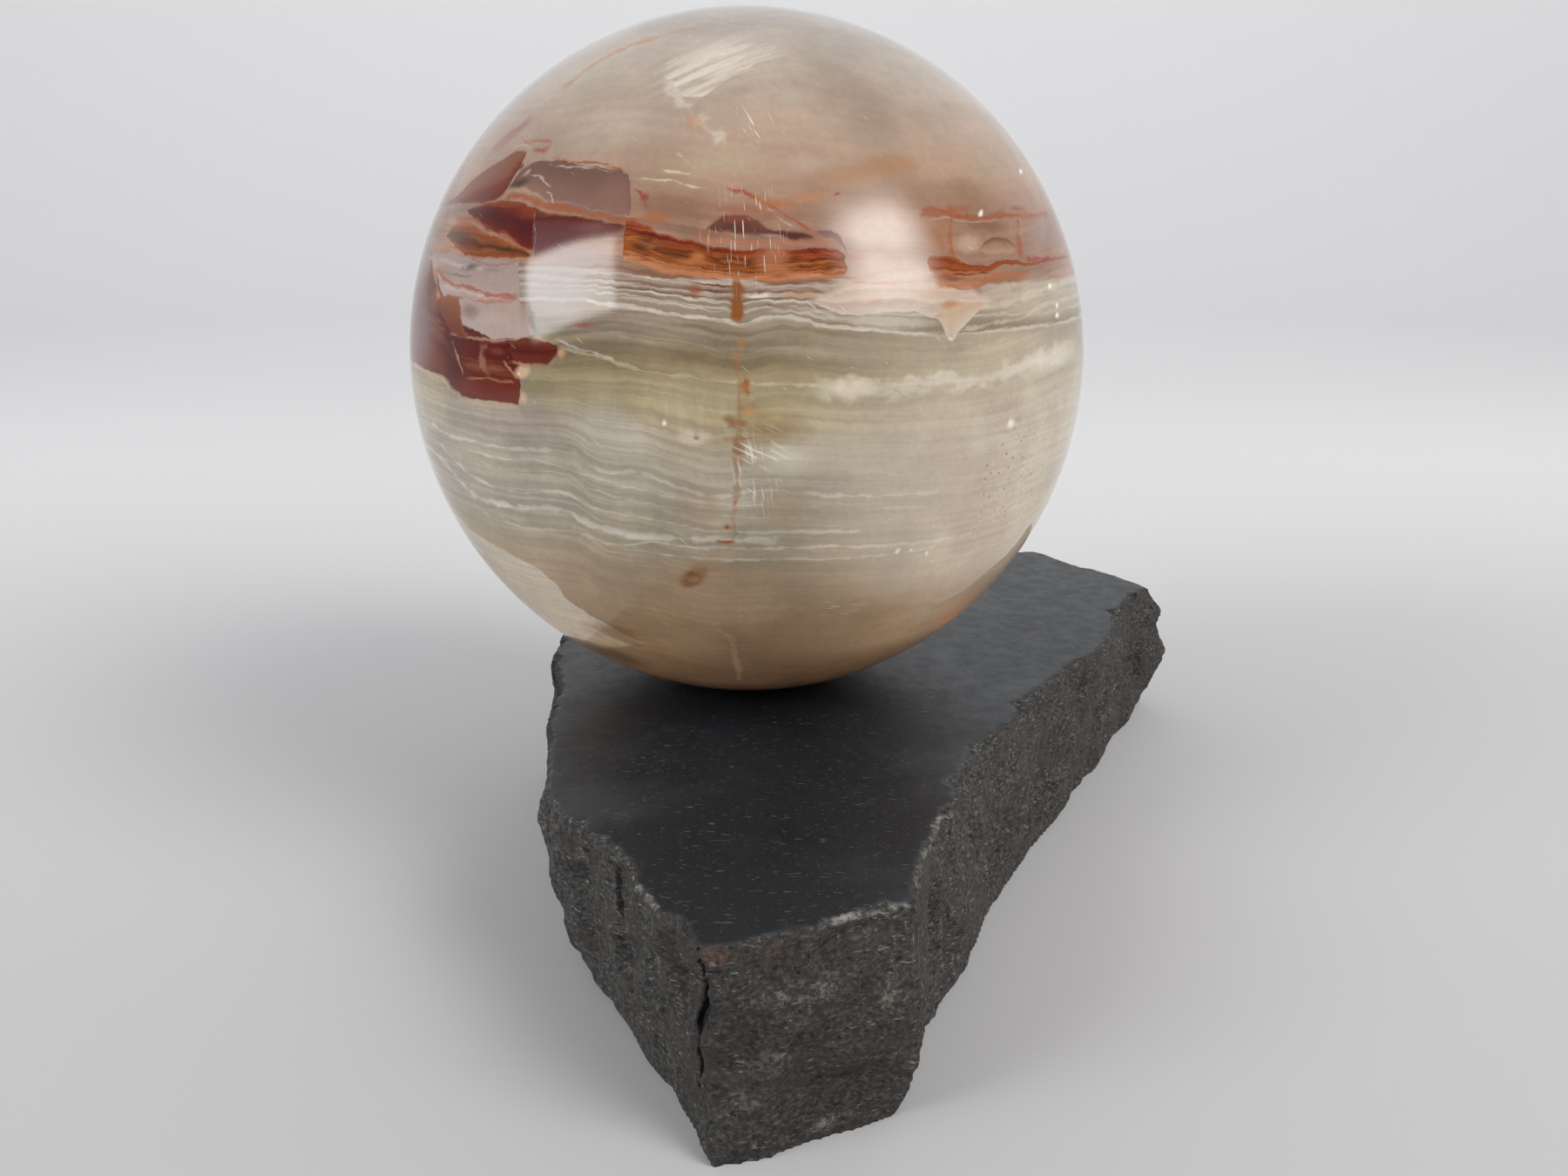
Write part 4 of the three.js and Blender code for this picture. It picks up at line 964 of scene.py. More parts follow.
def paint_light_by_height(onyx):
    """Painted light and shade by height: makes the stone paler towards its foot, where less light reaches
    it, and deeper towards its top, where more does.
    """
    share = onyx.course(onyx.z, [
        (-0.85, 5.4), (-0.8, 4.5), (-0.7, 3.0), (-0.6, 1.88), (-0.5, 1.46), (-0.4, 1.27), (-0.3, 1.12),
        (-0.2, 1.04), (-0.1, 0.96), (0.0, 0.90), (0.1, 0.88), (0.2, 0.87), (0.3, 0.865), (0.45, 0.84),
        (0.6, 0.80), (0.75, 0.79), (0.9, 0.84),
    ])
    mottled = onyx.calc("MULTIPLY_ADD", onyx.grain, 0.24, 0.88)
    onyx.lay(1.0, onyx.grey(onyx.calc("MULTIPLY", share, mottled)), "MULTIPLY")


def onyx_material(settings, groups):
    """The banded onyx, painted from its ground up: each zone covers what lies below it."""
    material = new_material("Banded onyx")
    onyx = Onyx(material.node_tree, groups)
    onyx.set_out()
    onyx.set_out_textures()
    # The last zone paints light and shade by height over all the others.
    for zone in (ground_colours, olive_beds, wavy_lines, lower_stone, bedding_texture, clear_top,
                 white_beds, dark_red_patch, left_white_block, wedge_and_block, maroon_core,
                 centre_rust_bed, right_rust_bed, mauve_lens, upper_lines, upright_cracks, paint_light_by_height):
        zone(onyx)
    scratches = marks(onyx)
    roughness = onyx.calc("MULTIPLY_ADD", scratches, 0.3, settings.polish)
    roughness = onyx.calc("MULTIPLY_ADD", onyx.grain, 0.02, roughness)
    onyx.surface({
        "Base Color": onyx.colour, "Roughness": roughness, "IOR": 1.5, "Specular IOR Level": 0.36,
        "Subsurface Weight": settings.glow, "Subsurface Radius": (1.0, 0.75, 0.55),
        "Subsurface Scale": settings.glow_depth,
    }, subsurface_method="RANDOM_WALK")
    return material


# The dark stone.


# How far a vertex is on the honed top, on a bruised stretch of its edge, and inside an open crack, where
# the crack's shade is painted.
SLAB_MASKS = ("honed", "bruise", "crack_shade")

# Stains on the near split face: x, z and their reach in millimetres, and their tone.
FRONT_STAINS = [
    (-0.2, 17.4, 1.8, 2.0, (128, 122, 114)), (-12.8, 12.4, 3.0, 2.6, (98, 96, 92)),
    (-6.8, 1.8, 2.4, 1.2, (130, 127, 121)), (-9.5, 19.8, 6.0, 2.2, (112, 108, 103)),
    (-2.6, 24.0, 3.0, 1.6, (128, 125, 120)), (-18.6, 25.6, 2.0, 1.4, (104, 76, 62)),
    (-12.6, 24.8, 2.4, 1.2, (104, 80, 68)), (-16.0, 7.5, 3.0, 1.6, (104, 102, 98)),
]


def slab_material(groups):
    """Honed dark stone on top, and rough granular stone on the split faces. Places are in millimetres."""
    material = new_material("Dark stone")
    stone = Nodes(material.node_tree)
    place = stone.stretch(stone.add("TexCoord").outputs["Object"], (1 / MM, 1 / MM, 1 / MM))
    honed, bruise, crack_shade = (stone.attribute(name) for name in SLAB_MASKS)
    clouds = stone.noise(place, 0.035, 4.0, 0.6)
    mottle = stone.noise(place, 0.35, 4.0, 0.65)
    grains = stone.noise(stone.stretch(place, (0.9, 0.9, 1.3)), 1.6, 4.0, 0.72)

    def plain(*rgb):
        return tone(*rgb, veil=SLAB_VEIL, gain=SLAB_GAIN)

    split = stone.ramp(grains, [
        (0.30, plain(32, 31, 31)), (0.46, plain(54, 53, 52)), (0.58, plain(74, 73, 71)),
        (0.76, plain(116, 114, 110))], "LINEAR")
    split = stone.mix(0.8, split, stone.grey(stone.step(mottle, 0.3, 0.7, 0.38, 0.62)), "OVERLAY")
    brown = stone.step(stone.noise(place, 0.16, 3.0, 0.6), 0.48, 0.66, 0.0, 0.45)
    split = stone.mix(brown, split, plain(68, 60, 55))
    # Painted shade: near-black specks stand for the shade in tiny pits of the split faces.
    pit_shade = stone.noise(stone.stretch(place, (1.0, 1.0, 1.5)), 0.85, 2.0, 0.5)
    split = stone.mix(stone.step(pit_shade, 0.37, 0.30, 0.0, 0.8), split, plain(20, 19, 19))
    # Pale flecks: partly the stone's pale grains and partly painted glints.
    flecks_and_glints = stone.noise(stone.stretch(place, (0.75, 0.75, 2.6)), 1.3, 3.0, 0.62)
    thick = stone.step(stone.noise(place, 0.3, 2.0, 0.5), 0.42, 0.60, 0.2, 0.8)
    flecks_and_glints = stone.calc("MULTIPLY", stone.step(flecks_and_glints, 0.59, 0.68), thick)
    split = stone.mix(flecks_and_glints, split, plain(148, 145, 139))
    # Painted shade: the split faces are darkened towards the front, a little from y = -50 mm and most past
    # y = -70 mm, for the shade the near face gets. front also marks where the stains below lie.
    depth = stone.parts(place)[1]
    front = stone.step(depth, -70.0, -74.0)
    darker = stone.calc("MULTIPLY_ADD", front, 0.20, stone.step(depth, -50.0, -70.0, 0.0, 0.12))
    split = stone.mix(darker, split, plain(34, 32, 30))
    coarse = stone.calc("MULTIPLY", front, stone.step(grains, 0.46, 0.62, 0.1, 0.75))
    fray = stone.calc("SUBTRACT", mottle, 0.5)
    for x, z, wide, high, tint in FRONT_STAINS:
        spot = stone.group(groups["spot"], {
            "Place": place, "Scale": (1 / wide, 0.0, 1 / high), "Shift": (-x / wide, 0.0, -z / high),
            "Fray": fray, "Fraying": 1.2})
        split = stone.mix(stone.calc("MULTIPLY", spot["Mask"], coarse), split, plain(*tint))
    chalky = stone.calc("MULTIPLY", bruise, stone.step(grains, 0.38, 0.52, 0.18, 0.62))
    split = stone.mix(chalky, split, plain(168, 164, 157))
    # Painted shade: the open cracks are filled near black, for the shade inside them.
    split = stone.mix(stone.calc("MULTIPLY", crack_shade, 0.85), split, plain(12, 12, 12))
    top = stone.ramp(clouds, [
        (0.3, plain(28, 31, 33)), (0.5, plain(34, 38, 42)), (0.72, plain(48, 53, 57))])
    strokes = stone.group(groups["scratches"], {
        "Place": stone.add("Mapping", {"Vector": place, "Rotation": (math.radians(90), 0, 0)}).outputs[0],
        "Length": 1.5, "Width": 0.22, "Share": 0.30})["Mask"]
    top = stone.mix(stone.calc("MULTIPLY", strokes, 0.35), top, plain(126, 127, 127))
    pins = stone.noise(stone.stretch(place, (1.1, 2.0, 1.0)), 1.5, 2.0, 0.5)
    top = stone.mix(stone.step(pins, 0.68, 0.74, 0.0, 0.35), top, plain(136, 135, 132))
    top = stone.mix(chalky, top, plain(160, 157, 151))
    colour = stone.mix(honed, split, top)
    matt = stone.step(mottle, 0.3, 0.7, 0.32, 0.44)
    roughness = stone.calc("MULTIPLY_ADD", stone.calc("SUBTRACT", matt, 0.86), honed, 0.86)
    rough_bump = stone.step(honed, 0.0, 1.0, 0.7, 0.04)
    bump = stone.add("Bump", {"Height": grains, "Strength": rough_bump, "Distance": 0.0004}).outputs[0]
    stone.surface({"Base Color": colour, "Roughness": roughness, "Normal": bump, "IOR": 1.5,
                   "Specular IOR Level": 0.32})
    return material


# Modelling.


def only(piece):
    """Makes piece the one selected, active object."""
    bpy.ops.object.select_all(action="DESELECT")
    piece.select_set(True)
    bpy.context.view_layer.objects.active = piece


def finish_modifiers(piece):
    only(piece)
    for modifier in list(piece.modifiers):
        bpy.ops.object.modifier_apply(modifier=modifier.name)


def place_in_mesh(piece):
    only(piece)
    bpy.ops.object.transform_apply(location=True, rotation=True, scale=True)


def select_where(mesh, test):
    """In edit mode, selects the faces whose centre passes the test."""
    shape = bmesh.from_edit_mesh(mesh)
    for part in (shape.verts, shape.edges, shape.faces):
        for item in part:
            item.select = False
    for face in shape.faces:
        if test(face.calc_center_median(), face.normal):
            face.select_set(True)
    shape.select_flush(True)
    bmesh.update_edit_mesh(mesh)


def nearest_of(points):
    """A tree that finds the nearest of the points to a place."""
    tree = kdtree.KDTree(len(points))
    for index, point in enumerate(points):
        tree.insert(point, index)
    tree.balance()
    return tree


# Pits in the polish: x and z from the front in ball radii, radius and depth in millimetres.
PITS = [
    (0.003, 0.215, 0.7, 0.16), (0.012, 0.155, 0.6, 0.14), (0.022, 0.07, 0.6, 0.14),
    (0.03, 0.015, 0.8, 0.18), (-0.095, -0.052, 0.7, 0.16), (-0.03, -0.275, 0.5, 0.12),
    (-0.12, -0.415, 0.9, 0.2), (-0.05, 0.735, 0.6, 0.12), (0.03, 0.78, 0.6, 0.12),
    (-0.52, 0.56, 0.6, 0.12), (-0.525, 0.084, 0.6, 0.12), (0.70, -0.06, 0.6, 0.14),
    (-0.69, 0.32, 0.6, 0.12), (0.50, 0.165, 0.5, 0.12),
]
PEPPER = {"count": 34, "x": (0.58, 0.84), "z": (-0.38, -0.02), "radius": (0.25, 0.5), "depth": 0.1}
BACK_PITS = {"count": 24, "x": (-0.8, 0.8), "z": (-0.6, 0.7), "radius": (0.4, 0.9), "depth": 0.14}


def on_ball(x, z, back=False):
    """The point of the ball's surface that shows at x and z from the front, or from behind."""
    y = math.sqrt(max(0.0, 1 - x * x - z * z))
    return Vector((x, y if back else -y, z))


def pit_places(seed):
    """Every pit as its direction from the ball's centre, radius and depth in metres."""
    draw = random.Random(seed)
    pits = [(on_ball(x, z), radius * MM, depth * MM) for x, z, radius, depth in PITS]
    for _ in range(PEPPER["count"]):
        place = on_ball(draw.uniform(*PEPPER["x"]), draw.uniform(*PEPPER["z"]))
        pits.append((place, draw.uniform(*PEPPER["radius"]) * MM, PEPPER["depth"] * MM))
    for _ in range(BACK_PITS["count"]):
        x, z = draw.uniform(*BACK_PITS["x"]), draw.uniform(*BACK_PITS["z"])
        if x * x + z * z < 0.9:
            radius = draw.uniform(*BACK_PITS["radius"]) * MM
            pits.append((on_ball(x, z, back=True), radius, BACK_PITS["depth"] * MM))
    return pits


def sink_pits(ball, pits):
    """Cuts the faces round each pit finer, then sinks the pit's floor below the polish."""
    places = nearest_of([direction * BALL_RADIUS for direction, _, _ in pits])

    def by_a_pit(centre, _):
        _, index, away = places.find(centre - BALL_CENTRE)
        return away < pits[index][1] + 0.7 * MM

    bpy.ops.object.mode_set(mode="EDIT")
    select_where(ball.data, by_a_pit)
    bpy.ops.mesh.subdivide(number_cuts=3)
    bpy.ops.mesh.select_all(action="SELECT")
    bpy.ops.mesh.quads_convert_to_tris()
    bpy.ops.object.mode_set(mode="OBJECT")
    for vertex in ball.data.vertices:
        out = vertex.co - BALL_CENTRE
        _, index, away = places.find(out.normalized() * BALL_RADIUS)
        radius, depth = pits[index][1:]
        ragged = radius * (1 + 0.35 * noise.noise(out / (0.5 * MM)))
        sunk = depth * max(0.0, 1 - (away / ragged) ** 2)
        vertex.co = BALL_CENTRE + out.normalized() * (BALL_RADIUS - sunk)


def model_ball(settings):
    """A fine sphere over the frame's ball, with its pits."""
    bpy.ops.object.select_all(action="DESELECT")
    bpy.ops.mesh.primitive_ico_sphere_add(subdivisions=7, radius=BALL_RADIUS, location=BALL_CENTRE)
    ball = bpy.context.object
    ball.name = ball.data.name = "banded_onyx_ball"
    place_in_mesh(ball)
    sink_pits(ball, pit_places(settings.seed))
    only(ball)
    bpy.ops.object.shade_smooth()
    return ball


SIDE_SKIN = 0.25 * MM  # how far inside the top or underside a point counts as part of it
CHIPPED_BAND = 3.5 * MM  # how far below the top the chips reach
CLEFT_DEPTH = 1.5 * MM  # how far the open cracks run in
FLAT_MARGIN = 2.5 * MM  # the band along the sides where the flat faces stay fine
FLAT_SHARE = 0.04  # how many of the other flat faces are kept


def fracture_relief(place):
    """Height of the split stone at a place, in metres, from flakes, ledges and grains."""
    flakes = noise.voronoi(place / (2.6 * MM))[0]
    flake = 0.30 * (flakes[1] - flakes[0]) - 0.10
    ledge_place = Vector((place.x / (7 * MM), place.y / (7 * MM), place.z / (1.5 * MM)))
    ledge = 0.22 * noise.noise(ledge_place)
    lump = 0.35 * noise.noise(place / (3.5 * MM))
    grain = 0.16 * noise.noise(place / (0.9 * MM)) + 0.10 * noise.noise(place / (0.5 * MM))
    return (flake + ledge + lump + grain) * MM


def chip_depth(place):
    """How deep the top edge is chipped at a place in plan, in metres."""
    flat = Vector((place.x, place.y, 0.0))
    wide = max(0.0, noise.noise(flat / (4.2 * MM)) - 0.05)
    small = max(0.0, noise.noise(flat / (1.3 * MM)) - 0.1)
    return (0.12 + 2.0 * wide + 0.8 * small) * MM


# Open cracks in the split faces: which way each runs in, between which y, and its courses of height,
# x and half width, all in millimetres.
CLEFTS = [
    ((0.2, 0.98), -90.0, -70.0, [
        (26.4, -20.2, 0.05), (23.4, -19.8, 0.18), (19.3, -19.3, 0.38), (16.7, -20.1, 0.42),
        (15.0, -20.6, 0.44), (13.6, -20.4, 0.28), (11.0, -20.3, 0.10), (6.0, -20.3, 0.02)]),
    ((0.57, 0.82), -64.0, -54.0, [
        (25.0, -30.9, 0.02), (22.7, -30.95, 0.28), (19.6, -30.9, 0.34), (17.2, -30.5, 0.02)]),
]
# Pale bruised stretches of the top edge, as courses of x and y in millimetres.
BRUISES = [
    [(9.4, -48.5), (7.7, -52.0), (5.9, -56.3), (4.3, -61.5), (3.9, -64.5)],
    [(-6.5, -74.1), (-4.3, -72.9), (-2.0, -72.0)],
    [(-0.6, -71.2), (1.2, -70.5)],
    [(-27.0, -67.0), (-25.7, -70.0)],
]


def in_cleft(place, near, far, line):
    """How far inside an open crack a point lies, from 0 at its lips to 1 in its middle."""
    if not near < place.y < far:
        return 0.0
    for (high, high_x, high_half), (low, low_x, low_half) in zip(line, line[1:]):
        if low <= place.z <= high:
            share = (place.z - low) / (high - low)
            half = low_half + (high_half - low_half) * share
            return max(0.0, 1 - abs(place.x - low_x - (high_x - low_x) * share) / half)
    return 0.0


def by_bruise(place):
    """1 on a bruised stretch of the edge, and 0 from 1.4 mm away."""
    nearest = 9.0
    for course in BRUISES:
        for start, end in zip(course, course[1:]):
            start, along = Vector(start), Vector(end) - Vector(start)
            share = min(1.0, max(0.0, (place.xy - start).dot(along) / along.length_squared))
            nearest = min(nearest, (place.xy - start - along * share).length)
    return min(1.0, max(0.0, (1.4 - nearest) / 0.6))


def break_faces(slab):
    """Gives the sides their broken relief and chips the top edge. Returns the slab's masks."""
    mesh = slab.data
    top = SLAB_HIGH.z
    masks = {name: [0.0] * len(mesh.vertices) for name in SLAB_MASKS}
    normals = [vertex.normal.copy() for vertex in mesh.vertices]
    edge = nearest_of([
        (v.co.x, v.co.y, 0.0) for v in mesh.vertices
        if top - 1.6 * MM < v.co.z < top - 0.5 * MM and abs(normals[v.index].z) < 0.8])
    for vertex in mesh.vertices:
        place, normal = vertex.co.copy(), normals[vertex.index]
        on_top = place.z > top - SIDE_SKIN and normal.z > 0.5
        on_foot = place.z < SIDE_SKIN and normal.z < -0.5
        side = Vector((normal.x, normal.y, 0.0))
        if side.length > 0.3 and not on_top and not on_foot:
            near_foot = min(1.0, place.z / (1.5 * MM))
            near_top = min(1.0, max(0.0, (top - place.z) / (1.2 * MM)))
            strength = 0.35 + 0.65 * min(near_foot, near_top)
            for way, near, far, line in CLEFTS:
                inside = in_cleft(place / MM, near, far, line)
                if inside:
                    masks["crack_shade"][vertex.index] = min(1.0, 1.6 * inside)
                    strength *= 1 - inside
                    place = place + Vector((*way, 0.0)) * min(1.0, 2 * inside) * CLEFT_DEPTH
            vertex.co = place + side.normalized() * fracture_relief(place) * strength
        if place.z > top - CHIPPED_BAND:
            _, _, away = edge.find((place.x, place.y, 0.0))
            limit = top - chip_depth(place) + max(0.0, away - 0.25 * MM) * 0.9
            if away < 0.5 * MM:
                ragged = min(1.0, max(0.0, 0.45 + 1.6 * noise.noise(place / (0.8 * MM))))
                near_edge = max(0.0, 1 - (top - place.z) / (0.7 * MM))
                masks["bruise"][vertex.index] = by_bruise(place / MM) * near_edge * ragged
            if vertex.co.z > limit:
                vertex.co.z = limit
            if on_top:
                masks["honed"][vertex.index] = max(0.0, 1.0 - (top - vertex.co.z) / (0.12 * MM))
        if on_top and vertex.co.z > top - 0.05 * MM:
            vertex.co.z = top
        if on_foot:
            vertex.co.z = 0.0
    return masks


def thin_out_flats(slab):
    """Takes most of the faces out of the middle of the flat top and underside."""
    top = SLAB_HIGH.z
    wall = nearest_of([
        (v.co.x, v.co.y, 0.0) for v in slab.data.vertices if 1 * MM < v.co.z < top - 1 * MM])

    def flat_and_far(centre, normal):
        level = abs(normal.z) > 0.9999 and (centre.z > top - 0.01 * MM or centre.z < 0.01 * MM)
        return level and wall.find((centre.x, centre.y, 0.0))[2] > FLAT_MARGIN

    only(slab)
    bpy.ops.object.mode_set(mode="EDIT")
    select_where(slab.data, flat_and_far)
    bpy.ops.mesh.decimate(ratio=FLAT_SHARE)
    bpy.ops.object.mode_set(mode="OBJECT")


def model_slab(settings):
    """A finer copy of the slab's frame, remeshed and broken up as the split stone is."""
    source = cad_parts["stone_slab"]
    slab = bpy.data.objects.new("broken_slab", source.data.copy())
    bpy.context.scene.collection.objects.link(slab)
    slab.data.materials.clear()
    only(slab)
    bpy.ops.object.mode_set(mode="EDIT")
    bpy.ops.mesh.select_all(action="SELECT")
    bpy.ops.mesh.remove_doubles(threshold=0.01 * MM)
    bpy.ops.object.mode_set(mode="OBJECT")
    remesh = slab.modifiers.new("Fine skin", "REMESH")
    remesh.mode = "VOXEL"
    remesh.voxel_size = settings.cell
    remesh.adaptivity = 0.0
    finish_modifiers(slab)
    for name, values in break_faces(slab).items():
        slab.data.attributes.new(name, "FLOAT", "POINT").data.foreach_set("value", values)
    thin_out_flats(slab)
    only(slab)
    bpy.ops.object.shade_smooth()
    return slab


# The studio.


CAMERA_OFFSET = Vector((0.005346, -0.189441, 0.021992))  # from the ball's centre
CAMERA_LENS = 28.0
CAMERA_SENSOR = 36.0
CAMERA_PITCH = 17.0  # degrees below level
LIGHT_AWAY = 0.95  # from the ball's centre
FLOOR_RADIUS = 1.2
SWEEP_RADIUS = 0.6  # of the curve from the floor up into the wall
SWEEP_STEP = 9  # degrees
PALER_FROM, PALER_TO = -0.13, 0.42  # where along y the floor's painted light and shade runs from its darker near colour to its paler far one
WASH_PLACE, WASH_TILT = (0.0, 0.75, 1.2), 72  # of the lamp that faces the wall, tilt in degrees


def floor_material(settings):
    """Plain and matt, with painted light and shade: darker towards the camera and paler behind the stone.
    """
    material = new_material("Pale floor")
    nodes = Nodes(material.node_tree)
    place = nodes.add("TexCoord").outputs["Object"]
    far = nodes.step(nodes.parts(place)[1], PALER_FROM, PALER_TO)
    colour = nodes.mix(far, settings.near_floor_colour_and_shade, settings.far_floor_colour_and_light)
    nodes.surface({"Base Color": colour, "Roughness": 0.8})
    return material


def model_floor(settings):
    """A wide round floor whose rim sweeps up into a low wall."""
    bpy.ops.object.select_all(action="DESELECT")
    bpy.ops.mesh.primitive_circle_add(vertices=96, radius=FLOOR_RADIUS, fill_type="NGON",
                                      location=(0, 0, 0))
    floor = bpy.context.object
    floor.name = floor.data.name = "studio_floor"
    bpy.ops.object.mode_set(mode="EDIT")
    bpy.ops.mesh.inset(thickness=0.001)
    bpy.ops.mesh.select_all(action="INVERT")
    bpy.ops.object.mode_set(mode="OBJECT")
    bpy.ops.object.mode_set(mode="EDIT")
    bpy.ops.mesh.select_mode(type="EDGE")
    bpy.ops.mesh.select_all(action="DESELECT")
    bpy.ops.mesh.select_non_manifold()
    before = 0.0
    for turned in range(SWEEP_STEP, 90, SWEEP_STEP):
        angle = math.radians(turned)
        bpy.ops.mesh.extrude_region_move()
        old, new = (FLOOR_RADIUS + SWEEP_RADIUS * math.sin(value) for value in (before, angle))
        bpy.ops.transform.resize(value=(new / old, new / old, 1.0), center_override=(0, 0, 0))
        rise = SWEEP_RADIUS * (math.cos(before) - math.cos(angle))
        bpy.ops.transform.translate(value=(0, 0, rise))
        before = angle
    bpy.ops.mesh.select_mode(type="VERT")
    bpy.ops.object.mode_set(mode="OBJECT")
    bpy.ops.object.shade_smooth()
    floor.data.materials.append(floor_material(settings))
    return floor


def soft_edge(lamp, core):
    """Dims a lamp from core of the way out to its edge, as cloth over it would."""
    lamp.use_nodes = True
    tree = lamp.node_tree
    nodes = Nodes(tree)
    across = nodes.add("NewGeometry").outputs["Parametric"]
    middle = nodes.vector("SUBTRACT", across, (0.5, 0.5, 0.0))
    parts = nodes.parts(nodes.vector("ABSOLUTE", middle))
    strength = nodes.calc("MULTIPLY", nodes.step(parts[0], 0.5, 0.5 * core),
                          nodes.step(parts[1], 0.5, 0.5 * core))
    tree.links.new(strength, tree.nodes["Emission"].inputs["Strength"])


def area_light(name, direction, size, turn, power, core, colour=(1, 1, 1)):
    """A light in a direction from the ball, facing it, full in its core and soft at its edges."""
    lamp = bpy.data.lights.new(name, "AREA")
    lamp.shape = "RECTANGLE"
    lamp.size, lamp.size_y = size
    lamp.energy = power
    lamp.color = colour
    soft_edge(lamp, core)
    holder = bpy.data.objects.new(name, lamp)
    bpy.context.scene.collection.objects.link(holder)
    direction = Vector(direction).normalized()
    holder.location = BALL_CENTRE + direction * LIGHT_AWAY
    level = direction.to_track_quat("Z", "Y")
    holder.rotation_euler = (level @ Quaternion((0, 0, 1), math.radians(turn))).to_euler()
    return holder


def light_studio(settings):
    """Pale air behind the ball and darker air in front of it, two soft lamps, and one on the wall."""
    world = bpy.data.worlds.new("Studio air")
    world.use_nodes = True
    air = world.node_tree.nodes["Background"]
    air.inputs["Color"].default_value = (0.97, 0.98, 1.0, 1.0)
    nodes = Nodes(world.node_tree)
    back = nodes.parts(nodes.add("TexCoord").outputs["Generated"])[1]
    strength = nodes.step(back, 0.25, 0.60, settings.front_air, settings.air)
    world.node_tree.links.new(strength, air.inputs["Strength"])
    bpy.context.scene.world = world
    area_light("Window", (-0.788, -0.449, 0.408), (0.57, 0.41), 27.0, settings.window, 0.75)
    area_light("Soft lamp", (0.636, -0.482, 0.590), (0.68, 0.76), 0.0, settings.lamp, 0.2,
               (1.0, 0.97, 0.93))
    wall = area_light("Wall wash", (0.0, 0.5, 0.87), (2.4, 0.6), 0.0, settings.wash, 0.6)
    wall.location = WASH_PLACE
    wall.rotation_euler = (math.radians(WASH_TILT), 0.0, 0.0)


def set_camera():
    """The camera at the photograph's angle."""
    data = bpy.data.cameras.new("Camera")
    data.lens = CAMERA_LENS
    data.sensor_width = CAMERA_SENSOR
    data.clip_start = 0.005
    camera = bpy.data.objects.new("Camera", data)
    bpy.context.scene.collection.objects.link(camera)
    camera.location = BALL_CENTRE + CAMERA_OFFSET
    camera.rotation_euler = Euler((math.radians(90 - CAMERA_PITCH), 0.0, 0.0))
    bpy.context.scene.camera = camera


# The add-on.


class BallSettings(bpy.types.PropertyGroup):
    polish: bpy.props.FloatProperty(
        name="Polish", description="Roughness of the polished onyx", default=0.05, min=0.0, max=1.0)
    glow: bpy.props.FloatProperty(
        name="Glow", description="Share of the light that passes through the onyx", default=0.12,
        min=0.0, max=1.0)
    glow_depth: bpy.props.FloatProperty(
        name="Glow depth", description="How far light travels in the onyx", default=0.0015,
        unit="LENGTH")
    seed: bpy.props.IntProperty(
        name="Pits", description="Which places the small pits take", default=7, min=0)


class SlabSettings(bpy.types.PropertyGroup):
    cell: bpy.props.FloatProperty(
        name="Cell", description="Width of the finest relief on the split faces", default=0.00046,
        unit="LENGTH")


class StageSettings(bpy.types.PropertyGroup):
    # The near floor colour holds painted shade and the far one painted light; the floor grades between them
    # along y.
    near_floor_colour_and_shade: bpy.props.FloatVectorProperty(
        name="Floor", description="Colour of the floor", size=4, subtype="COLOR",
        default=(0.50, 0.50, 0.51, 1.0), min=0.0, max=1.0)
    far_floor_colour_and_light: bpy.props.FloatVectorProperty(
        name="Far floor", description="Colour of the floor and wall behind the stone", size=4,
        subtype="COLOR", default=(0.89, 0.89, 0.90, 1.0), min=0.0, max=1.0)
    air: bpy.props.FloatProperty(
        name="Back air", description="Brightness of the light from behind and above", default=0.85,
        min=0.0)
    front_air: bpy.props.FloatProperty(
        name="Front air", description="Brightness of the light from the camera's side", default=0.42,
        min=0.0)
    wash: bpy.props.FloatProperty(
        name="Wall wash", description="Power of the light on the wall behind", default=9.0, unit="POWER")
    window: bpy.props.FloatProperty(
        name="Window", description="Power of the light from the left", default=6.0, unit="POWER")
    lamp: bpy.props.FloatProperty(
        name="Soft lamp", description="Power of the soft light from the right", default=17.5,
        unit="POWER")


def shared_groups():
    """The node groups that the materials share, made when they are first asked for."""
    made = {"seam": seam_group, "bed": bed_group, "spot": spot_group, "turned spot": turned_spot_group,
            "scratches": scratch_group}
    return {key: bpy.data.node_groups.get(key.capitalize()) or build() for key, build in made.items()}


class MakeOnyxBall(bpy.types.Operator):
    """Adds the polished ball of banded onyx"""

    bl_idname = "mesh.banded_onyx_ball"
    bl_label = "Onyx ball"
    bl_options = {"REGISTER", "UNDO"}

    def execute(self, context):
        settings = context.scene.onyx_ball
        ball = model_ball(settings)
        ball.data.materials.append(onyx_material(settings, shared_groups()))
        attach(ball, "root")
        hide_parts("onyx_ball")
        return {"FINISHED"}


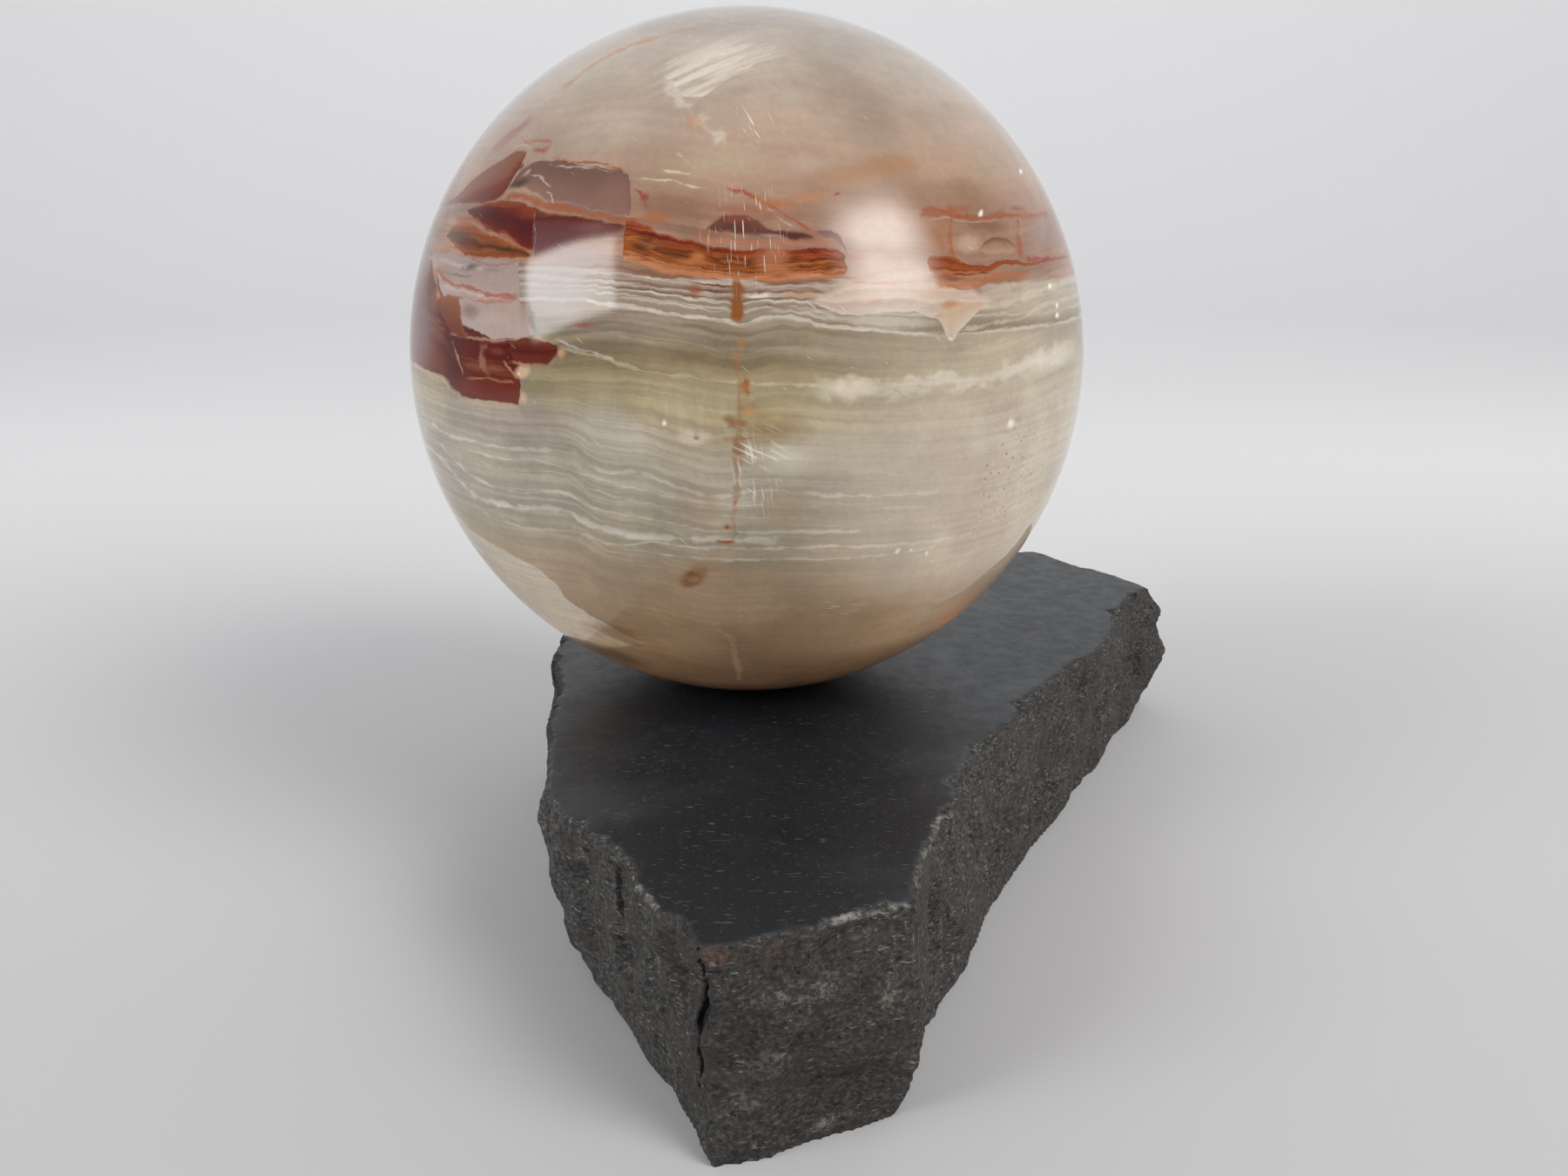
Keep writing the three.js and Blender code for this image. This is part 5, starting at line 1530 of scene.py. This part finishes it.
class MakeStoneSlab(bpy.types.Operator):
    """Adds the broken slab of dark stone"""

    bl_idname = "mesh.broken_stone_slab"
    bl_label = "Stone slab"
    bl_options = {"REGISTER", "UNDO"}

    def execute(self, context):
        settings = context.scene.stone_slab
        slab = model_slab(settings)
        slab.data.materials.append(slab_material(shared_groups()))
        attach(slab, "root")
        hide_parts("stone_slab")
        return {"FINISHED"}


class MakeStage(bpy.types.Operator):
    """Adds the pale floor, the soft lights and the camera"""

    bl_idname = "object.onyx_ball_stage"
    bl_label = "Stage"
    bl_options = {"REGISTER", "UNDO"}

    def execute(self, context):
        settings = context.scene.onyx_stage
        model_floor(settings)
        light_studio(settings)
        set_camera()
        context.scene.view_settings.view_transform = "Standard"
        return {"FINISHED"}


class OnyxBallPanel(bpy.types.Panel):
    """Lists the pieces and their settings"""

    bl_idname = "VIEW3D_PT_onyx_ball"
    bl_label = "Onyx ball on a slab"
    bl_space_type = "VIEW_3D"
    bl_region_type = "UI"
    bl_category = "Onyx ball"

    def draw(self, context):
        scene = context.scene
        rows = [(MakeOnyxBall, scene.onyx_ball), (MakeStoneSlab, scene.stone_slab),
                (MakeStage, scene.onyx_stage)]
        for operator, settings in rows:
            box = self.layout.box()
            box.operator(operator.bl_idname)
            for name in settings.__annotations__:
                box.prop(settings, name)


CLASSES = (
    BallSettings, SlabSettings, StageSettings, MakeOnyxBall, MakeStoneSlab, MakeStage, OnyxBallPanel,
)


def register():
    for item in CLASSES:
        bpy.utils.register_class(item)
    bpy.types.Scene.onyx_ball = bpy.props.PointerProperty(type=BallSettings)
    bpy.types.Scene.stone_slab = bpy.props.PointerProperty(type=SlabSettings)
    bpy.types.Scene.onyx_stage = bpy.props.PointerProperty(type=StageSettings)


def unregister():
    del bpy.types.Scene.onyx_stage
    del bpy.types.Scene.stone_slab
    del bpy.types.Scene.onyx_ball
    for item in reversed(CLASSES):
        bpy.utils.unregister_class(item)


def main():
    register()
    bpy.ops.object.onyx_ball_stage()
    bpy.ops.mesh.banded_onyx_ball()
    bpy.ops.mesh.broken_stone_slab()


if __name__ == "__main__":
    main()
